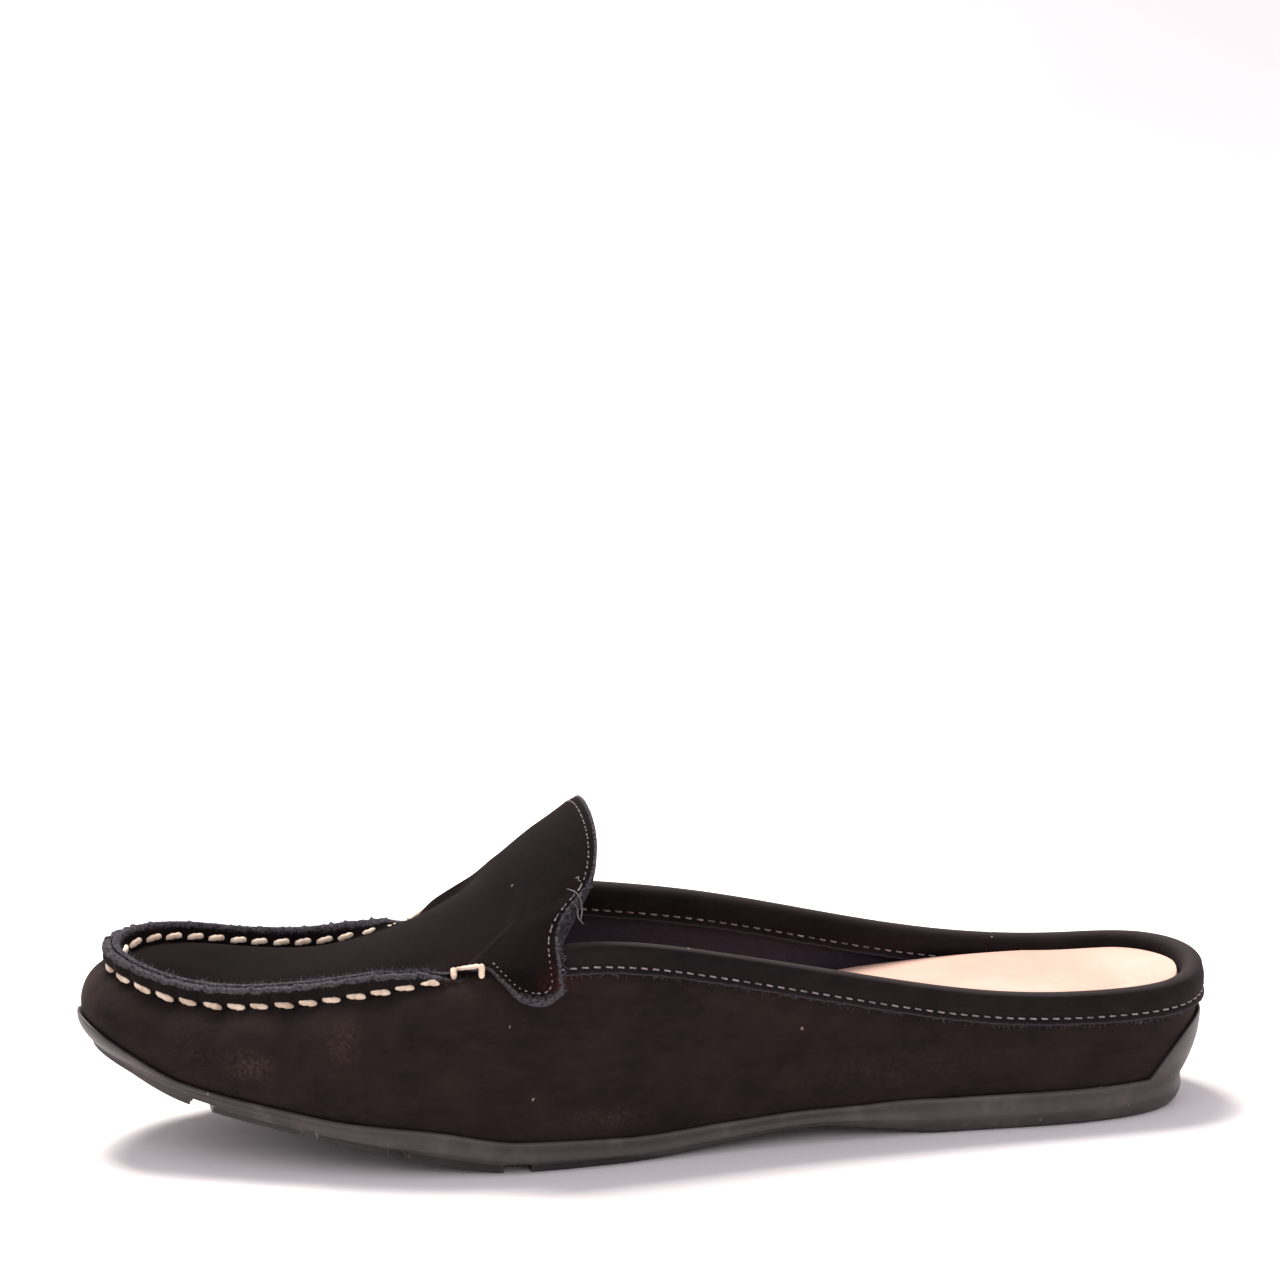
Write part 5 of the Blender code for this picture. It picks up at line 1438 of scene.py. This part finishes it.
def group(name, inputs, outputs):
    """An empty node group with a Vector and number inputs, and number outputs, by name."""
    tree = bpy.data.node_groups.new(name, "ShaderNodeTree")
    for label, kind, value in [("Vector", VECTOR, None), *inputs]:
        socket = tree.interface.new_socket(label, in_out="INPUT", socket_type=kind)
        if value is not None:
            socket.default_value = value
    for label in outputs:
        tree.interface.new_socket(label, in_out="OUTPUT", socket_type=NUMBER)
    return tree, tree.nodes.new("NodeGroupInput").outputs, tree.nodes.new("NodeGroupOutput").inputs


def use(tree, shared, **inputs):
    """A shared group placed in a material, with its own values; returns its outputs."""
    sockets = {key.replace("_", " "): value for key, value in inputs.items()}
    return add(tree, "ShaderNodeGroup", sockets, node_tree=shared).outputs


print("node helpers ready")

# %% [markdown]
# Nubuck is leather whose outer face has been sanded to a short nap. Wear brushes it both ways,
# so its tone drifts in wide soft patches with finer strokes along the shoe. Its relief is a fine
# fibre noise with a coarser one, as fibres lie in tufts.

# %% Nap
def nap_group():
    """Mottle = 0.62 wide noise + 0.38 stroke noise, stretched between two levels;
    Height = 0.6 fibre noise + 0.4 tuft noise."""
    tree, given, give = group("nap", [("Fibre", NUMBER, 2600.0)], ["Mottle", "Height"])
    wide = noise(tree, given["Vector"], 75.0, 4.0)
    stretched = add(tree, "ShaderNodeMapping", {"Vector": given["Vector"], "Scale": (0.35, 1.0, 1.2)})
    stroke = noise(tree, stretched.outputs[0], 420.0, 3.0)
    mottle = plus(tree, times(tree, wide, 0.62), times(tree, stroke, 0.38))
    tree.links.new(ramp(tree, mottle, 0.36, 0.66), give["Mottle"])
    fibre = noise(tree, given["Vector"], given["Fibre"], 2.0, 0.7)
    tuft = noise(tree, given["Vector"], 700.0, 3.0, 0.6)
    tree.links.new(plus(tree, times(tree, fibre, 0.6), times(tree, tuft, 0.4)), give["Height"])
    return tree


nap = nap_group()
print("nap:", len(nap.nodes), "nodes")

# %% [markdown]
# Lint and dust sit on suede as separate dots. A cell pattern has one point in every cell, and
# the cell's own random value picks the few that show.

# %% Specks
def speck_group():
    """Mask = 1 where a cell's random value is below Share and its point nearer than Size, on
    coordinates shaken a little so that the dots aren't round."""
    tree, given, give = group("specks", [("Scale", NUMBER, 300.0), ("Share", NUMBER, 0.05),
                                         ("Size", NUMBER, 0.12)], ["Mask"])
    warp = add(tree, "ShaderNodeTexNoise", {"Vector": given["Vector"], "Scale": 2200.0})
    near = add(tree, "ShaderNodeVectorMath", {0: warp.outputs["Color"], 3: 0.0006}, operation="SCALE")
    moved = add(tree, "ShaderNodeVectorMath", {0: given["Vector"], 1: near.outputs[0]}, operation="ADD")
    cell = add(tree, "ShaderNodeTexVoronoi", {"Vector": moved.outputs[0], "Scale": given["Scale"]})
    pick = add(tree, "ShaderNodeSeparateColor", {0: cell.outputs["Color"]}).outputs[0]
    chosen = calc(tree, "LESS_THAN", pick, given["Share"])
    dot = calc(tree, "LESS_THAN", cell.outputs["Distance"], given["Size"])
    tree.links.new(times(tree, chosen, dot), give["Mask"])
    return tree


specks = speck_group()
print("specks:", len(specks.nodes), "nodes")

# %% [markdown]
# A rubbed place is where something brushed the nap: strongest in the middle, gone at its edge,
# and broken up because only the standing fibres were caught.

# %% Rubbed place
def rub_group():
    """Mask = a soft ball round Centre with half-widths Reach, broken up by noise."""
    tree, given, give = group("rubbed", [("Centre", VECTOR, None), ("Reach", VECTOR, (0.01, 0.01, 0.01)),
                                         ("Grain", NUMBER, 900.0)], ["Mask"])
    away = add(tree, "ShaderNodeVectorMath", {0: given["Vector"], 1: given["Centre"]}, operation="SUBTRACT")
    scaled = add(tree, "ShaderNodeVectorMath", {0: away.outputs[0], 1: given["Reach"]}, operation="DIVIDE")
    far_off = add(tree, "ShaderNodeVectorMath", {0: scaled.outputs[0]}, operation="LENGTH").outputs["Value"]
    ball = ramp(tree, far_off, 1.0, 0.15)
    broken = ramp(tree, noise(tree, given["Vector"], given["Grain"], 4.0, 0.7), 0.42, 0.72)
    tree.links.new(times(tree, ball, broken), give["Mask"])
    return tree


rubbed = rub_group()
print("rubbed:", len(rubbed.nodes), "nodes")

# %% [markdown]
# Smooth leather is pebbled by its pores, and moulded rubber takes the sparked skin of its
# mould. Both are rounded cells with fine noise on top, and a slow drift of tone.

# %% Grain
def grain_group():
    """Height = Pebble Share x distance to the cell's point + 0.4 fine noise; Tone = slow noise."""
    tree, given, give = group("grain", [("Pebble", NUMBER, 1200.0), ("Pebble Share", NUMBER, 0.5)],
                              ["Height", "Tone"])
    cell = add(tree, "ShaderNodeTexVoronoi", {"Vector": given["Vector"], "Scale": given["Pebble"]},
               feature="SMOOTH_F1")
    fine = noise(tree, given["Vector"], 3500.0, 2.0)
    pebbles = times(tree, cell.outputs["Distance"], given["Pebble Share"])
    tree.links.new(plus(tree, pebbles, times(tree, fine, 0.4)), give["Height"])
    tree.links.new(noise(tree, given["Vector"], 45.0, 5.0, 0.6), give["Tone"])
    return tree


grain = grain_group()
print("grain:", len(grain.nodes), "nodes")

# %% [markdown]
# Each material is one Principled shader. Its plain numbers, such as sheen and coat, are set on
# the shader itself, and only what changes over the surface comes in through a link: colour,
# roughness and the height that a Bump node turns into a normal.

# %% Start and finish of a material
def start_material(name, **plain):
    """A material with its shader, its tree and the object's coordinates."""
    material = bpy.data.materials.new(name)
    material.use_nodes = True
    tree = material.node_tree
    shader = tree.nodes["Principled BSDF"]
    for key, value in plain.items():
        shader.inputs[key.replace("_", " ")].default_value = value
    return material, tree, shader, add(tree, "ShaderNodeTexCoord").outputs["Object"]


def finish_material(tree, shader, colour, roughness, height, strength, distance):
    """Links colour, roughness and bumps into the shader."""
    tree.links.new(colour, shader.inputs["Base Color"])
    if isinstance(roughness, bpy.types.NodeSocket):
        tree.links.new(roughness, shader.inputs["Roughness"])
    else:
        shader.inputs["Roughness"].default_value = roughness
    bump = add(tree, "ShaderNodeBump", {"Strength": strength, "Distance": distance, "Height": height})
    tree.links.new(bump.outputs[0], shader.inputs["Normal"])


def rub_at(share, across, high):
    """Centre of a rubbed place from its share of the foot, place across and height."""
    return (share * FOOT_LENGTH + SHIFT[0], across, high)


def raw_edge(tree, fray, low, high):
    """Mask of the cut edges: the mesh's own mask plus half the fray noise, between two levels."""
    return ramp(tree, plus(tree, attribute(tree, "raw"), times(tree, fray, 0.5)), low, high)


print("materials can start")

# %% [markdown]
# The nubuck of upper and apron is one finish in two tones. The apron lies open to the light from
# above, so it gets a darker copy of the finish, painted shade that keeps its lit top as dark as
# the sides, and next to no bloom. The meshes carry masks for raw edges, lining and the sewn
# valley. The rubbed places are those of the photograph, with the one on the wing where rust or
# polish coloured it.

# %% Nubuck
NUBUCK_DARK, NUBUCK_LIGHT = lin(23, 16, 15), lin(41, 31, 28)
# Painted shade: darker tones for the apron's lit top, so that it reads as dark as the sides.
APRON_SHADED_DARK, APRON_SHADED_LIGHT = lin(13, 8, 8), lin(25, 17, 15)
LINING_DARK, LINING_LIGHT = lin(34, 28, 34), lin(66, 57, 66)
RAW_DARK, RAW_LIGHT = lin(31, 28, 30), lin(92, 87, 91)
# The third colour is painted shade, laid into the sewn valley.
DUST, RUST, VALLEY_SHADE = lin(170, 150, 138), lin(88, 44, 34), lin(12, 9, 9)
# Rubbed places: centre, half-widths, waves a metre, strength and colour
RUBS = [
    (rub_at(0.878, 0.034, 0.024), (0.0080, 0.02, 0.0052), 1100.0, 0.15, DUST),
    (rub_at(0.795, 0.036, 0.030), (0.0052, 0.02, 0.0060), 1100.0, 0.08, DUST),
    (rub_at(0.925, 0.030, 0.028), (0.0090, 0.02, 0.0070), 1100.0, 0.06, DUST),
    (rub_at(0.565, 0.040, 0.011), (0.0140, 0.02, 0.0036), 1100.0, 0.06, DUST),
    (rub_at(0.300, 0.028, 0.016), (0.0300, 0.02, 0.0060), 1100.0, 0.03, DUST),
    (rub_at(0.606, 0.036, 0.043), (0.0060, 0.02, 0.0040), 1300.0, 0.60, RUST),
]


def nubuck(name, low, high, sheen, level):
    """Nap between two tones, with rubs, painted shade in the valley, specks, lining and raw edges
    laid over it in turn, and a bloom of so much sheen and specular level."""
    material, tree, shader, where = start_material(
        name, Sheen_Weight=sheen, Sheen_Roughness=0.5, Sheen_Tint=lin(190, 165, 155),
        Specular_IOR_Level=level)
    nap_out = use(tree, nap, Vector=where, Fibre=2600.0)
    colour = mix(tree, nap_out["Mottle"], low, high)
    for centre, reach, waves, strength, towards in RUBS:
        mask = use(tree, rubbed, Vector=where, Centre=centre, Reach=reach, Grain=waves)["Mask"]
        colour = tint(tree, colour, mask, strength, towards)
    # Painted shade in the sewn valley beside the thread.
    colour = tint(tree, colour, attribute(tree, "valley"), 0.75, VALLEY_SHADE)
    dots = use(tree, specks, Vector=where, Scale=210.0, Share=0.035, Size=0.075)["Mask"]
    colour = tint(tree, colour, dots, 0.55, DUST)
    cloth = mix(tree, nap_out["Height"], LINING_DARK, LINING_LIGHT)
    colour = mix(tree, attribute(tree, "lining"), colour, cloth)
    fray = noise(tree, where, 1500.0, 4.0, 0.7)
    cut = mix(tree, ramp(tree, fray, 0.35, 0.7), RAW_DARK, RAW_LIGHT)
    colour = mix(tree, raw_edge(tree, fray, 0.62, 0.85), colour, cut)
    rough = plus(tree, 0.86, times(tree, nap_out["Mottle"], 0.12))
    finish_material(tree, shader, colour, rough, nap_out["Height"], 0.55, 0.0006)
    return material


finishes = {
    upper: nubuck("nubuck", NUBUCK_DARK, NUBUCK_LIGHT, 0.10, 0.12),
    # The apron's finish is the darker copy: painted shade for its lit top.
    apron: nubuck("apron_nubuck_painted_shade", APRON_SHADED_DARK, APRON_SHADED_LIGHT, 0.01, 0.05),
}
print("nubuck:", len(RUBS), "rubbed places")

# %% [markdown]
# The binding is a thinner suede, closer and darker than the nubuck. The foot slips in and out
# over its crown, which is rubbed smooth and a little lighter.

# %% Suede of the binding
def binding_suede():
    """Nap, then worn crown, painted shade in the seam valley, raw edge and specks; smoother
    where it is worn.
    """
    material, tree, shader, where = start_material(
        "binding_suede", Sheen_Weight=0.05, Sheen_Roughness=0.5, Sheen_Tint=lin(185, 165, 160),
        Specular_IOR_Level=0.14)
    nap_out = use(tree, nap, Vector=where, Fibre=3200.0)
    colour = mix(tree, nap_out["Mottle"], lin(18, 13, 14), lin(32, 25, 25))
    worn = attribute(tree, "worn")
    colour = tint(tree, colour, worn, 0.35, lin(58, 46, 44))
    # Painted shade in the channel that the machine seam pulls in.
    colour = tint(tree, colour, attribute(tree, "valley"), 0.7, lin(14, 11, 12))
    fray = noise(tree, where, 1700.0, 4.0, 0.7)
    cut = mix(tree, fray, RAW_DARK, lin(74, 68, 74))
    colour = tint(tree, colour, raw_edge(tree, fray, 0.6, 0.9), 0.8, cut)
    dots = use(tree, specks, Vector=where, Scale=330.0, Share=0.03, Size=0.10)["Mask"]
    colour = tint(tree, colour, dots, 0.6, DUST)
    rough = calc(tree, "SUBTRACT", 0.92, times(tree, worn, 0.18))
    finish_material(tree, shader, colour, rough, nap_out["Height"], 0.45, 0.0005)
    return material


finishes[binding] = binding_suede()
print("binding suede ready")

# %% [markdown]
# The footbed is covered in pale rosy calf, undyed enough to show its pores. It is darker at
# the rim and at one small patch at the back of the heel.

# %% Leather of the footbed
def footbed_skin():
    """Pebbled calf whose tone drifts, darker at its rim and at one patch near the heel's back."""
    material, tree, shader, where = start_material(
        "footbed_leather", Coat_Weight=0.06, Coat_Roughness=0.35, Specular_IOR_Level=0.4)
    skin = use(tree, grain, Vector=where, Pebble=1500.0, Pebble_Share=0.6)
    colour = mix(tree, ramp(tree, skin["Tone"], 0.3, 0.7), lin(200, 160, 141), lin(216, 177, 158))
    colour = tint(tree, colour, attribute(tree, "rim"), 0.35, lin(178, 134, 116))
    heel_patch = use(tree, rubbed, Vector=where, Centre=rub_at(0.035, 0.008, HEEL_SEAT),
                Reach=(0.010, 0.012, 0.01), Grain=400.0)["Mask"]
    colour = tint(tree, colour, heel_patch, 0.5, lin(170, 128, 110))
    rough = plus(tree, 0.42, times(tree, skin["Tone"], 0.2))
    finish_material(tree, shader, colour, rough, skin["Height"], 0.25, 0.0003)
    return material


finishes[insole] = footbed_skin()
print("footbed leather ready")

# %% [markdown]
# The sole is charcoal rubber. A film of dust greys it unevenly, its tread pads are darker,
# and its lowest few millimetres are darker still.

# %% Moulded rubber
def rubber():
    """Sparked skin whose tone drifts, with dark foot, grey film, dark pads and specks."""
    material, tree, shader, where = start_material("sole_rubber", Specular_IOR_Level=0.45)
    skin = use(tree, grain, Vector=where, Pebble=2600.0, Pebble_Share=0.4)
    height = add(tree, "ShaderNodeSeparateXYZ", {0: where}).outputs[2]
    colour = mix(tree, ramp(tree, skin["Tone"], 0.35, 0.7), lin(50, 44, 43), lin(72, 64, 62))
    colour = tint(tree, colour, ramp(tree, height, 0.0030, 0.0), 0.4, lin(50, 45, 46))
    film = noise(tree, where, 160.0, 5.0, 0.65)
    colour = tint(tree, colour, ramp(tree, film, 0.5, 0.75), 0.35, lin(104, 95, 92))
    pads = ramp(tree, attribute(tree, "row"), 0.86, 0.92)
    colour = tint(tree, colour, pads, 0.7, lin(30, 26, 26))
    dots = use(tree, specks, Vector=where, Scale=420.0, Share=0.04, Size=0.12)["Mask"]
    colour = tint(tree, colour, dots, 0.4, DUST)
    rough = plus(tree, 0.36, times(tree, film, 0.26))
    finish_material(tree, shader, colour, rough, skin["Height"], 0.30, 0.00025)
    return material


finishes[sole] = rubber()
print("rubber ready")

# %% [markdown]
# Threads and loose fibres are the same stuff at different sizes: fine filaments whose tone
# wanders from stitch to stitch. The hand seam is waxed cream, the machine seams are grey.

# %% Threads and fibres
def thread_wax(name, dark, light, scale, rough):
    """Tone noise between two colours, with shade painted between the filaments, where a much
    finer noise that is also the bump is low.
    """
    material, tree, shader, where = start_material(name, Sheen_Weight=0.2, Specular_IOR_Level=0.35)
    tone = noise(tree, where, scale, 3.0)
    hair = noise(tree, where, scale * 14, 2.0, 0.7)
    colour = mix(tree, ramp(tree, tone, 0.35, 0.65), dark, light)
    # Painted shade where the fine noise, which is also the bump, is low.
    colour = tint(tree, colour, ramp(tree, hair, 0.5, 0.3), 0.35, dark)
    finish_material(tree, shader, colour, rough, hair, 0.5, 0.0002)
    return material


finishes[thread] = thread_wax("cream_thread", lin(196, 170, 146), lin(246, 226, 202), 260.0, 0.6)
finishes[fine_thread] = thread_wax("grey_thread", lin(92, 80, 84), lin(158, 142, 146), 420.0, 0.65)
finishes[loose] = thread_wax("loose_thread", lin(92, 84, 88), lin(150, 138, 142), 500.0, 0.7)
finishes[fuzz] = thread_wax("suede_fibre", lin(58, 54, 62), lin(120, 116, 128), 300.0, 0.9)
for piece, finish in finishes.items():
    piece.data.materials.append(finish)
print("finishes:", len(finishes))

# %% [markdown]
# The floor is matt white paper, slightly warm, with a tooth too fine to see and a slow drift
# of tone so that it isn't a flat fill.

# %% Paper of the floor
material, tree, shader, where = start_material("paper", Specular_IOR_Level=0.15)
tooth = noise(tree, where, 900.0, 3.0)
drift = noise(tree, where, 3.0, 2.0)
colour = mix(tree, ramp(tree, drift, 0.3, 0.7), lin(244, 238, 236), lin(250, 246, 244))
finish_material(tree, shader, colour, 0.85, tooth, 0.1, 0.0002)
floor.data.materials.append(material)
print("floor finished")
